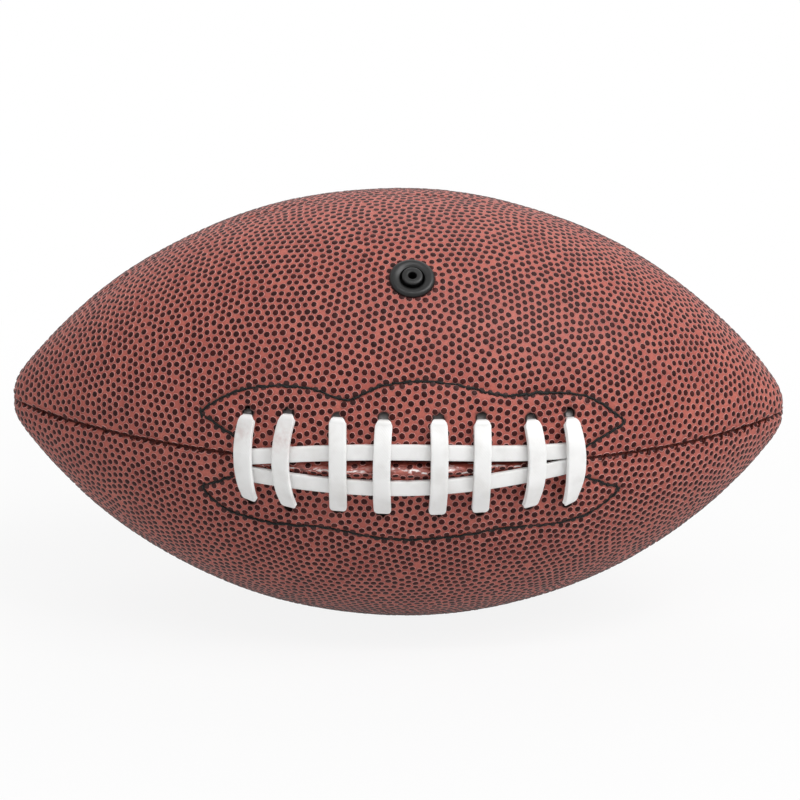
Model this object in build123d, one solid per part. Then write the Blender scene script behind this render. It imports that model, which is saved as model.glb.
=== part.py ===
"""Mini American football: a laced four-panel cover over an air bladder, with a pull-out valve plug.

Millimetres. The origin is the middle of the ball, +X runs along it, the laces face -Y and +Z is up.
"""
import math
import os

from build123d import *

os.makedirs("parts", exist_ok=True)

# Form of the ball: one long arc along the side and one small arc round each tip
BALL_LENGTH = 200.0
BALL_DIAMETER = 110.5
NOSE_RADIUS = 12.6

# Cover: four panels with turned-in edges, each with a lining set into its back
COVER_THICKNESS = 1.6
LINING_THICKNESS = 0.8
LAYER_CLEARANCE = 0.1
SEAM_GAP = 0.3
SEAM_ROUND = 1.4
SEAM_TURN_IN = 2.4

# Thread
SEAM_THREAD_DIAMETER = 0.6
SEAM_THREAD_CLEARANCE = 0.05
SEAM_THREAD_MARGIN = 1.0
SEAM_THREAD_STOP = 5.0
STITCH_DIAMETER = 0.6
STITCH_LENGTH = 2.4
STITCH_PITCH = 2.9
STITCH_LIFT = 0.05

# Bladder
BLADDER_WALL = 0.8
BLADDER_CLEARANCE = 0.2

# Lace: eight bars over two strands, all of one flat cord
LACING_LENGTH = 79.2
BAR_SHARES = (-1.0, -0.745, -0.447, -0.17, 0.17, 0.447, 0.745, 1.0)
LACE_WIDTH = 4.0
LACE_THICKNESS = 1.2
LACE_LEG_WIDTH = 2.9
LACE_LIFT = 0.15
LACE_SELF_GAP = 0.5
LACE_INNER_CLEARANCE = 0.2
LACE_HOLE_CLEARANCE = 0.3
LACE_HOLE_SPREAD = 24.0
STRAND_SPREAD = 9.4
STRAND_END_SPREAD = 3.0

# Facings: the patches sewn behind the lace holes, and the sewn outline that shows outside
FACING_LENGTH = 105.0
FACING_WIDTH = 43.2
FACING_NOTCH_LENGTH = 88.0
FACING_NOTCH_WIDTH = 8.4
FACING_MARGIN = 2.0
FACING_LENGTH_SHARES = (0.2, 0.4, 0.62, 0.85, 1.0)
FACING_WIDTH_SHARES = (0.93, 0.82, 0.82, 0.68, 0.43)

# Tongue under the lacing, and the bed for it in the bladder
TONGUE_LENGTH = 92.0
TONGUE_WIDTH = 27.0
TONGUE_THICKNESS = 0.8
TONGUE_ROUND = 5.0
BED_MARGIN = 1.5

# Valve: a rubber collar with a flange inside the bladder, and the plug that takes the needle
VALVE_ANGLE = 50.0
COLLAR_DIAMETER = 11.3
COLLAR_RISE = 0.9
COLLAR_ROUND = 0.45
COLLAR_CUP_DIAMETER = 7.4
COLLAR_CUP_DEPTH = 0.9
COLLAR_CLEARANCE = 0.2
COLLAR_STEM_DIAMETER = 8.4
COLLAR_STEM_LENGTH = 10.0
COLLAR_FLANGE_DIAMETER = 19.0
COLLAR_FLANGE_THICKNESS = 1.1
PLUG_DIAMETER = 5.2
PLUG_RISE = 0.7
PLUG_ROUND = 0.6
PLUG_LENGTH = 12.0
PLUG_CLEARANCE = 0.05
NEEDLE_BORE_DIAMETER = 2.0
NEEDLE_BORE_DEPTH = 8.0

# How far a cutting shape runs past what it cuts
OVERRUN = 2.0

# The side arc and the nose arc touch where one line passes through both centres
BALL_RADIUS = BALL_DIAMETER / 2
NOSE_CENTRE = BALL_LENGTH / 2 - NOSE_RADIUS
SIDE_RADIUS = (NOSE_CENTRE**2 + BALL_RADIUS**2 - NOSE_RADIUS**2) / (2 * (BALL_RADIUS - NOSE_RADIUS))
SIDE_CENTRE = BALL_RADIUS - SIDE_RADIUS
NOSE_ANGLE = math.atan2(-SIDE_CENTRE, NOSE_CENTRE)

# Depths of the layers below the cover's outer face
LINING_TOP = COVER_THICKNESS + LAYER_CLEARANCE
PANEL_DEPTH = LINING_TOP + LINING_THICKNESS
LINK_TOP = PANEL_DEPTH + LACE_INNER_CLEARANCE
LINK_MIDDLE = LINK_TOP + LACE_THICKNESS / 2
LINK_FLOOR = LINK_TOP + LACE_THICKNESS
TONGUE_TOP = LINK_FLOOR + LAYER_CLEARANCE
TONGUE_FLOOR = TONGUE_TOP + TONGUE_THICKNESS
BLADDER_TOP = PANEL_DEPTH + BLADDER_CLEARANCE
BLADDER_FLOOR = BLADDER_TOP + BLADDER_WALL
BED_TOP = TONGUE_FLOOR + LAYER_CLEARANCE
FLANGE_TOP = BLADDER_FLOOR + LAYER_CLEARANCE
FLANGE_FLOOR = FLANGE_TOP + COLLAR_FLANGE_THICKNESS

# Seams: the rounded edges leave a groove, and the thread rests between its two shoulders
PANEL_INSET = SEAM_GAP / 2
POCKET_INSET = PANEL_INSET + SEAM_TURN_IN
LINING_INSET = POCKET_INSET + LAYER_CLEARANCE
SEAM_EDGE = min(SEAM_ROUND, COVER_THICKNESS, SEAM_TURN_IN)
THREAD_RADIUS = SEAM_THREAD_DIAMETER / 2
THREAD_REACH = SEAM_EDGE + THREAD_RADIUS + SEAM_THREAD_CLEARANCE
THREAD_DEPTH = SEAM_EDGE - math.sqrt(max(THREAD_REACH**2 - (SEAM_EDGE + PANEL_INSET) ** 2, 0))

# Holes, and the places of the bars along the lacing
LACE_HOLE_RADIUS = math.hypot(LACE_LEG_WIDTH, LACE_THICKNESS) / 2 + LACE_HOLE_CLEARANCE
VALVE_HOLE_RADIUS = COLLAR_DIAMETER / 2 + COLLAR_CLEARANCE
BAR_PLACES = [share * LACING_LENGTH / 2 for share in BAR_SHARES]
SIDES = (-1, 1)


def ball(depth):
    """The whole ball as a solid, with its skin at this depth below the cover's outer face."""
    nose = NOSE_RADIUS - depth
    side = SIDE_RADIUS - depth
    tip = NOSE_CENTRE + nose
    middle_x = NOSE_CENTRE + nose * math.cos(NOSE_ANGLE / 2)
    middle_y = nose * math.sin(NOSE_ANGLE / 2)
    join_x = NOSE_CENTRE + nose * math.cos(NOSE_ANGLE)
    join_y = nose * math.sin(NOSE_ANGLE)
    outline = [
        ThreePointArc((-tip, 0), (-middle_x, middle_y), (-join_x, join_y)),
        ThreePointArc((-join_x, join_y), (0, SIDE_CENTRE + side), (join_x, join_y)),
        ThreePointArc((join_x, join_y), (middle_x, middle_y), (tip, 0)),
        Line((tip, 0), (-tip, 0)),
    ]
    return revolve(make_face(outline), Axis.X)


def layer(top, floor):
    """A skin of the ball between two depths."""
    return ball(top) - ball(floor)


def quarter(side_y, side_z, inset):
    """A box over one quarter of the ball, standing back from both of its seam planes."""
    start = {-1: Align.MAX, 1: Align.MIN}
    align = (Align.CENTER, start[side_y], start[side_z])
    box = Box(BALL_LENGTH + OVERRUN, BALL_DIAMETER, BALL_DIAMETER, align=align)
    return Pos(0, side_y * inset, side_z * inset) * box


def front_prism(face):
    """A face drawn in length and height, pushed out through the front half of the ball."""
    return extrude(Plane.XZ * face, BALL_DIAMETER, dir=(0, -1, 0))


def skin_radius(x):
    """Distance of the cover's outer face from the long axis."""
    return SIDE_CENTRE + math.sqrt(SIDE_RADIUS**2 - x**2)


def skin_slope(x):
    """Angle by which the outer face has turned away at this place along the ball."""
    return math.asin(x / SIDE_RADIUS)


def skin_point(x, z):
    """Point on the front of the ball at this length and height."""
    return Vector(x, -math.sqrt(skin_radius(x) ** 2 - z**2), z)


def skin_normal(x, z):
    """Outward direction of the front of the ball at this length and height."""
    slope = skin_slope(x)
    turn = math.asin(z / skin_radius(x))
    return Vector(math.sin(slope), -math.cos(slope) * math.cos(turn), math.cos(slope) * math.sin(turn))


class Bar:
    """One bar of the lace: an arch over the strands, with a leg down into a hole at each end.

    Heights are taken from the foot, the point of the skin under the middle of the bar, and the
    skin across the bar is a circle. The arch clears the strands and comes down at the holes.
    """

    def __init__(self, x):
        slope = skin_slope(x)
        self.out = Vector(math.sin(slope), -math.cos(slope), 0)
        self.along = Vector(math.cos(slope), math.sin(slope), 0)
        self.foot = skin_point(x, 0)
        self.section = Plane(self.foot, x_dir=(0, 0, 1), z_dir=self.along)
        self.plan = Plane(self.foot, x_dir=(0, 0, 1), z_dir=self.out)
        self.skin = skin_radius(x) / math.cos(slope)
        self.turn = LACE_HOLE_SPREAD / 2 / self.skin

        strand_lean = (STRAND_SPREAD + LACE_WIDTH) / 2 / self.skin
        strand_top = self.skin + LACE_LIFT + LACE_THICKNESS + LACE_SELF_GAP
        self.strand_edge = strand_top * math.sin(strand_lean)
        strand_rise = strand_top * math.cos(strand_lean) - self.skin
        hole_reach = math.sqrt(LACE_HOLE_RADIUS**2 - (LACE_LEG_WIDTH / 2) ** 2)
        self.hole_edge = self.skin * math.sin(self.turn) - hole_reach + LAYER_CLEARANCE
        hole_rise = math.sqrt(self.skin**2 - self.hole_edge**2) - self.skin + LACE_LIFT
        spread = self.hole_edge**2 + hole_rise**2 - self.strand_edge**2 - strand_rise**2
        self.centre = spread / (2 * (hole_rise - strand_rise))
        self.radius = math.hypot(self.strand_edge, strand_rise - self.centre)

    def hole(self, side):
        """Plane at the mouth of one of the two lace holes, looking out along it."""
        reach = Vector(0, 0, side)
        outward = reach * math.sin(self.turn) + self.out * math.cos(self.turn)
        middle = self.foot - self.out * self.skin
        return Plane(middle + outward * self.skin, x_dir=self.along, z_dir=outward)

    def leg_end(self, side):
        """Point inside the ball where the leg through that hole ends."""
        plane = self.hole(side)
        return plane.origin - plane.z_dir * LINK_MIDDLE

    def on_arch(self, radius, angle):
        """Point of a circle round the arch's centre, in the section across the bar."""
        return (radius * math.sin(angle), self.centre + radius * math.cos(angle))

    def profile(self):
        """Section of the bar: the arch, two legs, and a round bend where they meet."""
        offset = self.skin + self.centre
        middle = self.radius + LACE_THICKNESS / 2
        aside = offset * math.sin(self.turn)
        top = offset * math.cos(self.turn) + math.sqrt(middle**2 - aside**2)
        bend_x = top * math.sin(self.turn)
        bend_y = top * math.cos(self.turn) - self.skin
        end = math.atan2(bend_x, bend_y - self.centre)
        low = self.radius
        high = self.radius + LACE_THICKNESS
        face = make_face([
            ThreePointArc(self.on_arch(low, -end), self.on_arch(low, 0), self.on_arch(low, end)),
            Line(self.on_arch(low, end), self.on_arch(high, end)),
            ThreePointArc(self.on_arch(high, end), self.on_arch(high, 0), self.on_arch(high, -end)),
            Line(self.on_arch(high, -end), self.on_arch(low, -end)),
        ])
        leg_length = top - self.skin + LINK_MIDDLE
        for side in SIDES:
            place = Pos(side * bend_x, bend_y) * Rot(0, 0, -side * math.degrees(self.turn))
            face += place * Rectangle(LACE_THICKNESS, leg_length, align=(Align.CENTER, Align.MAX))
            face += place * Circle(LACE_THICKNESS / 2)
        return face

    def outline(self):
        """Plan of the bar: full width over the strands, drawn in towards the holes."""
        wide = LACE_WIDTH / 2
        narrow = LACE_LEG_WIDTH / 2
        right = [(self.strand_edge, wide), (self.hole_edge, narrow), (LACE_HOLE_SPREAD, narrow)]
        upper = [(-x, y) for x, y in reversed(right)] + right
        lower = [(x, -y) for x, y in reversed(upper)]
        return make_face(Polyline(*upper, *lower, close=True))

    def solid(self):
        """The bar and its legs."""
        band = extrude(self.section * self.profile(), LACE_WIDTH, both=True)
        return band & extrude(self.plan * self.outline(), LACE_HOLE_SPREAD, both=True)


BARS = [Bar(x) for x in BAR_PLACES]
END_BARS = (BARS[0], BARS[-1])


def lace_drills():
    """Cylinders through the cover: two at each bar, and one under each end bar for the strands."""
    drill = Cylinder(LACE_HOLE_RADIUS, 2 * (PANEL_DEPTH + OVERRUN))
    drills = [bar.hole(side) * drill for bar in BARS for side in SIDES]
    return drills + [bar.plan * drill for bar in END_BARS]


def lace_strands():
    """Two strands on the cover that bow apart in the middle and join under the end bars."""
    half = LACING_LENGTH / 2 + LACE_THICKNESS
    bow = (STRAND_SPREAD - STRAND_END_SPREAD) / 2
    radius = (half**2 + bow**2) / (2 * bow)
    centre = STRAND_SPREAD / 2 - radius
    outer = radius + LACE_WIDTH / 2
    inner = radius - LACE_WIDTH / 2
    outer_end = centre + math.sqrt(outer**2 - half**2)
    inner_end = centre + math.sqrt(inner**2 - half**2)
    strand = make_face([
        ThreePointArc((-half, outer_end), (0, centre + outer), (half, outer_end)),
        Line((half, outer_end), (half, inner_end)),
        ThreePointArc((half, inner_end), (0, centre + inner), (-half, inner_end)),
        Line((-half, inner_end), (-half, outer_end)),
    ])
    return layer(-LACE_LIFT - LACE_THICKNESS, -LACE_LIFT) & front_prism(strand + mirror(strand, Plane.XZ))


def lace_end_legs():
    """Legs that take the joined strands down through the two end holes."""
    top = LACE_LIFT + LACE_THICKNESS / 2
    align = (Align.CENTER, Align.CENTER, Align.MAX)
    leg = Box(LACE_LEG_WIDTH, LACE_THICKNESS, top + LINK_MIDDLE, align=align)
    return [bar.plan * Pos(0, 0, top) * leg for bar in END_BARS]


def lace_links():
    """Slanting runs inside the cover that lead from each bar's lower hole to the next upper one."""
    ends = [bar.foot - bar.out * LINK_MIDDLE for bar in END_BARS]
    stops = [ends[0]]
    for bar in BARS:
        stops += [bar.leg_end(1), bar.leg_end(-1)]
    stops.append(ends[1])
    plan = Sketch()
    for start, stop in zip(stops[0::2], stops[1::2]):
        run_x = stop.X - start.X
        run_z = stop.Z - start.Z
        place = Pos((start.X + stop.X) / 2, (start.Z + stop.Z) / 2)
        turn = Rot(0, 0, math.degrees(math.atan2(run_z, run_x)))
        plan += place * turn * Rectangle(math.hypot(run_x, run_z) + LACE_THICKNESS, LACE_LEG_WIDTH)
    return layer(LINK_TOP, LINK_FLOOR) & front_prism(plan)


def lace():
    """The whole lace as one cord: outside bars and strands, inside links."""
    pieces = [bar.solid() for bar in BARS] + lace_end_legs() + [lace_links()]
    return lace_strands().fuse(*pieces)


def valve_plane():
    """Plane on the cover at the valve, looking out along it."""
    angle = math.radians(VALVE_ANGLE)
    outward = Vector(0, -math.cos(angle), math.sin(angle))
    return Plane(outward * BALL_RADIUS, x_dir=(1, 0, 0), z_dir=outward)


def valve_drill(radius):
    """Cylinder along the valve, through every layer of the cover and the bladder."""
    return valve_plane() * Cylinder(radius, 2 * (FLANGE_FLOOR + OVERRUN))


def valve_collar():
    """Rubber collar: the ring outside, a stem for the plug, and a flange inside the bladder."""
    down = (Align.CENTER, Align.CENTER, Align.MAX)
    neck = Pos(0, 0, COLLAR_RISE) * Cylinder(COLLAR_DIAMETER / 2, COLLAR_RISE + FLANGE_FLOOR, align=down)
    stem = Cylinder(COLLAR_STEM_DIAMETER / 2, COLLAR_STEM_LENGTH, align=down)
    cup = Pos(0, 0, COLLAR_RISE - COLLAR_CUP_DEPTH) * Cylinder(
        COLLAR_CUP_DIAMETER / 2, COLLAR_CUP_DEPTH + OVERRUN, align=(Align.CENTER, Align.CENTER, Align.MIN))
    ring = neck + stem - cup
    ring = fillet(ring.edges().group_by(Axis.Z)[-1], COLLAR_ROUND)
    bore = Cylinder(PLUG_DIAMETER / 2 + PLUG_CLEARANCE, 2 * (COLLAR_STEM_LENGTH + OVERRUN))
    flange = layer(FLANGE_TOP, FLANGE_FLOOR) & valve_drill(COLLAR_FLANGE_DIAMETER / 2)
    return valve_plane() * ring + flange - valve_plane() * bore


def valve_plug():
    """Rubber plug that pulls straight out, with a blind hole for the inflating needle."""
    down = (Align.CENTER, Align.CENTER, Align.MAX)
    plug = Cylinder(PLUG_DIAMETER / 2, PLUG_LENGTH, align=down)
    plug = fillet(plug.edges().filter_by(GeomType.CIRCLE), PLUG_ROUND)
    plug -= Cylinder(NEEDLE_BORE_DIAMETER / 2, NEEDLE_BORE_DEPTH, align=down)
    return valve_plane() * Pos(0, 0, PLUG_RISE) * plug


def panel(side_y, side_z):
    """One cover panel: its seam edges are rounded and turned in round the pocket for its lining."""
    block = ball(0) & quarter(side_y, side_z, PANEL_INSET)
    seam_faces = block.faces().filter_by(GeomType.PLANE)
    seam_edges = [edge for face in seam_faces for edge in face.edges() if edge.geom_type != GeomType.LINE]
    block = fillet(seam_edges, SEAM_EDGE)
    pocket = ball(COVER_THICKNESS) & quarter(side_y, side_z, POCKET_INSET)
    return block - ball(PANEL_DEPTH) - pocket


def lining(side_y, side_z):
    """The cloth lining in the pocket of a panel."""
    return layer(LINING_TOP, PANEL_DEPTH) & quarter(side_y, side_z, LINING_INSET)


def facing_line(margin):
    """Wavy long side of the sewn outline, let out by a margin."""
    half_length = FACING_LENGTH / 2 + margin
    shares = list(zip(FACING_LENGTH_SHARES, FACING_WIDTH_SHARES))
    right = [(x * half_length, z * FACING_WIDTH / 2 + margin) for x, z in shares]
    left = [(-x, z) for x, z in reversed(right)]
    return Spline(*left, (0, FACING_WIDTH / 2 + margin), *right)


def facing_notch(margin):
    """Corner near the slit where the sewn outline starts, let out by a margin."""
    return (FACING_NOTCH_LENGTH / 2 + margin, FACING_NOTCH_WIDTH / 2 - margin)


def facing_prism(margin, side):
    """The front of the ball inside one facing's outline, down to the slit."""
    long_side = facing_line(margin)
    x, z = facing_notch(margin)
    notches = Polyline(long_side @ 1, (x, z), (x, 0), (-x, 0), (-x, z), long_side @ 0)
    return front_prism(mirror_below(make_face([long_side, notches]), side))


def mirror_below(shape, side):
    """The shape as drawn for above the slit, or turned over for below it."""
    return shape if side > 0 else mirror(shape, Plane.XZ)


def facing(side):
    """Patch behind the lace holes, set into the lining."""
    patch = lining(-1, side) & facing_prism(FACING_MARGIN, side)
    return patch - lace_drills()


def stitch():
    """One stitch, a short thread with round ends, along Z."""
    radius = STITCH_DIAMETER / 2
    half = STITCH_LENGTH / 2
    bulge = radius / math.sqrt(2)
    straight = half - radius
    outline = [
        ThreePointArc((0, half), (bulge, straight + bulge), (radius, straight)),
        Line((radius, straight), (radius, -straight)),
        ThreePointArc((radius, -straight), (bulge, -straight - bulge), (0, -half)),
        Line((0, -half), (0, half)),
    ]
    return revolve(Plane.XZ * make_face(outline), Axis.Z)


def facing_stitches(side):
    """Stitches that show along a facing's outline, lying on the cover."""
    long_side = facing_line(0)
    x, z = facing_notch(0)
    edges = [Line((-x, z), long_side @ 0), long_side, Line(long_side @ 1, (x, z))]
    one = stitch()
    stitches = []
    for edge in edges:
        count = max(round(edge.length / STITCH_PITCH), 1)
        for place in range(count):
            share = (place + 0.5) / count
            at = edge @ share
            step = (edge % share) * (STITCH_LENGTH / 2)
            ahead = skin_point(at.X + step.X, side * (at.Y + step.Y))
            behind = skin_point(at.X - step.X, side * (at.Y - step.Y))
            normal = skin_normal(at.X, side * at.Y)
            middle = skin_point(at.X, side * at.Y) + normal * (STITCH_DIAMETER / 2 + STITCH_LIFT)
            stitches.append(Plane(middle, x_dir=normal, z_dir=ahead - behind) * one)
    return Compound(children=stitches)


def seam_thread(turn, start, stop):
    """Thread in the groove of one seam, from one place along the ball to another."""
    radius = SIDE_RADIUS - THREAD_DEPTH
    hub = Axis((0, 0, SIDE_CENTRE), (0, 1, 0))
    begin = math.degrees(skin_slope(start))
    arc = math.degrees(skin_slope(stop)) - begin
    round_end = Plane((0, 0, SIDE_CENTRE + radius), z_dir=(1, 0, 0)) * Circle(THREAD_RADIUS)
    thread = revolve(round_end, hub, arc).rotate(hub, begin)
    return thread.rotate(Axis.X, turn)


def tongue():
    """Padding strip between the lace and the bladder."""
    plan = RectangleRounded(TONGUE_LENGTH, TONGUE_WIDTH, TONGUE_ROUND)
    return layer(TONGUE_TOP, TONGUE_FLOOR) & front_prism(plan)


def bladder_form(depth, bed_depth, margin):
    """The bladder's shape at a depth, pressed in to another depth under the tongue."""
    plan = RectangleRounded(TONGUE_LENGTH + 2 * margin, TONGUE_WIDTH + 2 * margin, TONGUE_ROUND + margin)
    return ball(depth) - (front_prism(plan) - ball(bed_depth))


def bladder():
    """Air bladder, with a hole for the valve collar."""
    outside = bladder_form(BLADDER_TOP, BED_TOP, BED_MARGIN)
    inside = bladder_form(BLADDER_FLOOR, BED_TOP + BLADDER_WALL, BED_MARGIN + BLADDER_WALL)
    return outside - inside - valve_drill(COLLAR_DIAMETER / 2 + LAYER_CLEARANCE)


nodes = {}
for side_y, depth_name in ((-1, "front"), (1, "back")):
    for side_z, height_name in ((1, "upper"), (-1, "lower")):
        name = f"{depth_name}_{height_name}"
        nodes[f"panel_{name}"] = panel(side_y, side_z)
        nodes[f"lining_{name}"] = lining(side_y, side_z)

for side_z, height_name in ((1, "upper"), (-1, "lower")):
    nodes[f"panel_front_{height_name}"] -= lace_drills()
    nodes[f"lining_front_{height_name}"] -= facing_prism(FACING_MARGIN + LAYER_CLEARANCE, side_z)
    nodes[f"facing_{height_name}"] = facing(side_z)
    nodes[f"facing_stitches_{height_name}"] = facing_stitches(side_z)
for name in ("panel", "lining"):
    nodes[f"{name}_front_upper"] -= valve_drill(VALVE_HOLE_RADIUS)

nose_join = SIDE_RADIUS * math.cos(NOSE_ANGLE) - SEAM_THREAD_STOP
lacing_end = LACING_LENGTH / 2 + LACE_HOLE_RADIUS + SEAM_THREAD_MARGIN
for name, turn in (("top", 0), ("bottom", 180), ("back", 270)):
    nodes[f"seam_thread_{name}"] = seam_thread(turn, -nose_join, nose_join)
nodes["seam_thread_lace_left"] = seam_thread(90, -nose_join, -lacing_end)
nodes["seam_thread_lace_right"] = seam_thread(90, lacing_end, nose_join)

nodes["lace"] = lace()
nodes["lace_tongue"] = tongue()
nodes["bladder"] = bladder()
nodes["valve_collar"] = valve_collar()
nodes["valve_plug"] = valve_plug()

for name, solid in nodes.items():
    solid.label = name
    export_step(solid, f"parts/{name}.step")
    print(f"{name:28s} {len(solid.solids()):3d} solids {solid.volume:12.2f} mm3")
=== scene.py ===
# %% [markdown]
# # A laced mini football
# The ball is four pebbled panels, sewn edge to edge round an air bladder and laced along one seam.
# The CAD model holds its sizes, its layers and the valve's joint. This lesson adds what the eye
# sees: rolled seams, thousands of pebbles, thread, a vinyl lace and a rubber valve. Every piece is
# made in metres in the CAD frame, so each one already sits where the CAD says.

# %% Load the frame
import math
from collections import namedtuple

import bmesh
import bpy
import numpy as np
from mathutils import Matrix, Vector
from mathutils.kdtree import KDTree


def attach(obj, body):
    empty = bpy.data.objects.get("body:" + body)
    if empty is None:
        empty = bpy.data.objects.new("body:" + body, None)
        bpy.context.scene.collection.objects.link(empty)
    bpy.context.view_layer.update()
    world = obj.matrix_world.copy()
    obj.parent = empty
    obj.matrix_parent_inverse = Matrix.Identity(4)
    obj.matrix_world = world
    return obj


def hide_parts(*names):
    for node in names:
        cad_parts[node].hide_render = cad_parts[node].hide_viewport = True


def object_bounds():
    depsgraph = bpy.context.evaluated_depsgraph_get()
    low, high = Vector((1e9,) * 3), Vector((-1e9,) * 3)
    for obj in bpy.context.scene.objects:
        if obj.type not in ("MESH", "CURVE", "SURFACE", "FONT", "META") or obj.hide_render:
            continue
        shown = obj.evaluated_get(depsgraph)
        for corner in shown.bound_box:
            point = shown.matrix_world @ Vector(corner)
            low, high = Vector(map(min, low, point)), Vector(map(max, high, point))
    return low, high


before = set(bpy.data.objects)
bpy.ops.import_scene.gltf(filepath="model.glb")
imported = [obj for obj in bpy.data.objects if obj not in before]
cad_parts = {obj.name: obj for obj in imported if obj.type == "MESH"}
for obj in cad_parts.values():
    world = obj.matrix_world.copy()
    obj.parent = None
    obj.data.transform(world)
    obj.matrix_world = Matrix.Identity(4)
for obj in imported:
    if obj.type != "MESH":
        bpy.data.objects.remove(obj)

MM = 0.001
cad_low, cad_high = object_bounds()
print("CAD box in mm:", [round((high - low) / MM, 1) for low, high in zip(cad_low, cad_high)])

# %% [markdown]
# ## The form of the ball
# A football is a spindle: one long arc along its side and a small arc round each tip, spun about
# the long axis. A lathe or a scaled sphere could give it, but the seams, the lace and the thread
# all need points on the same skin. So the skin is a function. It takes the length walked from the
# middle towards a tip, the turn from the lace seam up and over, and a height above the cover.

# %% Skin of the ball
BALL_LENGTH = 200 * MM
BALL_RADIUS = 55.25 * MM
NOSE_RADIUS = 12.6 * MM
NOSE_CENTRE = BALL_LENGTH / 2 - NOSE_RADIUS
SIDE_RADIUS = (NOSE_CENTRE**2 + BALL_RADIUS**2 - NOSE_RADIUS**2) / (2 * (BALL_RADIUS - NOSE_RADIUS))
SIDE_CENTRE = BALL_RADIUS - SIDE_RADIUS
NOSE_TILT = math.atan2(NOSE_CENTRE, -SIDE_CENTRE)
SIDE_REACH = SIDE_RADIUS * NOSE_TILT
TIP_REACH = SIDE_REACH + NOSE_RADIUS * (math.pi / 2 - NOSE_TILT)


def meridian(walk):
    """Place along the axis, distance from it and tilt of the normal, at a walk from the middle."""
    side = np.sign(walk)
    past = np.abs(walk) - SIDE_REACH
    tilt = np.where(past > 0, side * (NOSE_TILT + past / NOSE_RADIUS), walk / SIDE_RADIUS)
    along = np.where(past > 0, side * NOSE_CENTRE + NOSE_RADIUS * np.sin(tilt), SIDE_RADIUS * np.sin(tilt))
    out = np.where(past > 0, NOSE_RADIUS * np.cos(tilt), SIDE_CENTRE + SIDE_RADIUS * np.cos(tilt))
    return along, out, tilt


def skin(walk, turn, height=0.0):
    """Points over the cover: walk runs along the ball, turn goes from the lace seam up and over."""
    along, out, tilt = meridian(np.asarray(walk, float))
    out = out + height * np.cos(tilt)
    parts = (along + height * np.sin(tilt), -out * np.cos(turn), out * np.sin(turn))
    return np.stack(np.broadcast_arrays(*parts), -1)


def skin_normal(walk, turn):
    """Outward directions of the cover."""
    tilt = meridian(np.asarray(walk, float))[2]
    parts = (np.sin(tilt), -np.cos(tilt) * np.cos(turn), np.cos(tilt) * np.sin(turn))
    return np.stack(np.broadcast_arrays(*parts), -1)


print(f"tip to tip over the skin {2 * TIP_REACH / MM:.1f} mm, side arc of {SIDE_RADIUS / MM:.1f} mm radius")

# %% [markdown]
# ## Mesh helpers
# One helper makes a mesh object from points and faces and turns it the right way out, by the sign
# of the volume it encloses. One joins rings of points into a tube. One stores a number on each
# point for a material or a node tree to read. One swaps what the modifiers give for a plain mesh,
# so that nothing live is left on a finished piece. The last hands a piece over to the frame.


# %% Mesh helpers
def add_object(name, data):
    """An object in the scene, at the origin."""
    made = bpy.data.objects.new(name, data)
    bpy.context.scene.collection.objects.link(made)
    return made


def new_piece(name, points, faces):
    """A smooth mesh object whose faces point outwards."""
    mesh = bpy.data.meshes.new(name)
    mesh.from_pydata(np.asarray(points).reshape(-1, 3).tolist(), [], faces)
    form = bmesh.new()
    form.from_mesh(mesh)
    if form.calc_volume(signed=True) < 0:
        bmesh.ops.reverse_faces(form, faces=form.faces)
    form.to_mesh(mesh)
    form.free()
    mesh.shade_smooth()
    return add_object(name, mesh)


def tube_faces(rings, around, first=0, closed=False):
    """Faces of a tube of rings that follow each other. It has two ends, or is closed into a ring."""
    faces = []
    for ring in range(rings if closed else rings - 1):
        low, high = (first + place % rings * around for place in (ring, ring + 1))
        for spot in range(around):
            after = (spot + 1) % around
            faces.append((low + spot, low + after, high + after, high + spot))
    if not closed:
        last = first + (rings - 1) * around
        faces.append(tuple(range(first + around - 1, first - 1, -1)))
        faces.append(tuple(range(last, last + around)))
    return faces


def store(piece, name, values):
    """Keeps one number for each point of the piece."""
    attribute = piece.data.attributes.new(name, "FLOAT", "POINT")
    attribute.data.foreach_set("value", np.asarray(values, np.float32).ravel())


def settle(piece):
    """Makes what the modifiers give the piece's own plain mesh."""
    graph = bpy.context.evaluated_depsgraph_get()
    shown = piece.evaluated_get(graph)
    mesh = bpy.data.meshes.new_from_object(shown, preserve_all_data_layers=True, depsgraph=graph)
    piece.modifiers.clear()
    piece.data = mesh
    return piece


def hand_over(piece, body, cad_node):
    """Tells the frame which body carries a piece, hides the CAD node that it stands for, and prints its
    triangles.
    """
    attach(piece, body)
    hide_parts(cad_node)
    piece.data.calc_loop_triangles()
    print(piece.name, len(piece.data.loop_triangles), "triangles, rides on", body)


# %% [markdown]
# ## Nodes, colours and materials
# Materials and geometry trees are both nodes and links, so one function adds a node of any kind. A
# socket goes by its name, or by its number where names repeat: a Map Range takes the range that goes
# in at 1 and 2, and the range that comes out at 3 and 4. Colours are written as sRGB hex, as a paint
# program shows them, and turned into the linear values that the renderer works in. Every material
# of the ball has one shader, which is fed a colour in layers and a bump.


# %% Node and colour helpers
def node(tree, kind, inputs=None, **settings):
    """Adds a node. inputs maps sockets to values, to outputs, or to nodes, whose first output is meant."""
    made = tree.nodes.new(kind)
    for name, value in settings.items():
        setattr(made, name, value)
    for key, value in (inputs or {}).items():
        if isinstance(value, bpy.types.Node):
            value = value.outputs[0]
        if isinstance(value, bpy.types.NodeSocket):
            tree.links.new(value, made.inputs[key])
        else:
            made.inputs[key].default_value = value
    return made


def linear(hex_colour):
    """Linear red, green, blue and alpha of an sRGB hex colour."""
    shares = [int(hex_colour[place:place + 2], 16) / 255 for place in (1, 3, 5)]
    return [share / 12.92 if share <= 0.04045 else ((share + 0.055) / 1.055) ** 2.4 for share in shares] + [1]


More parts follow.
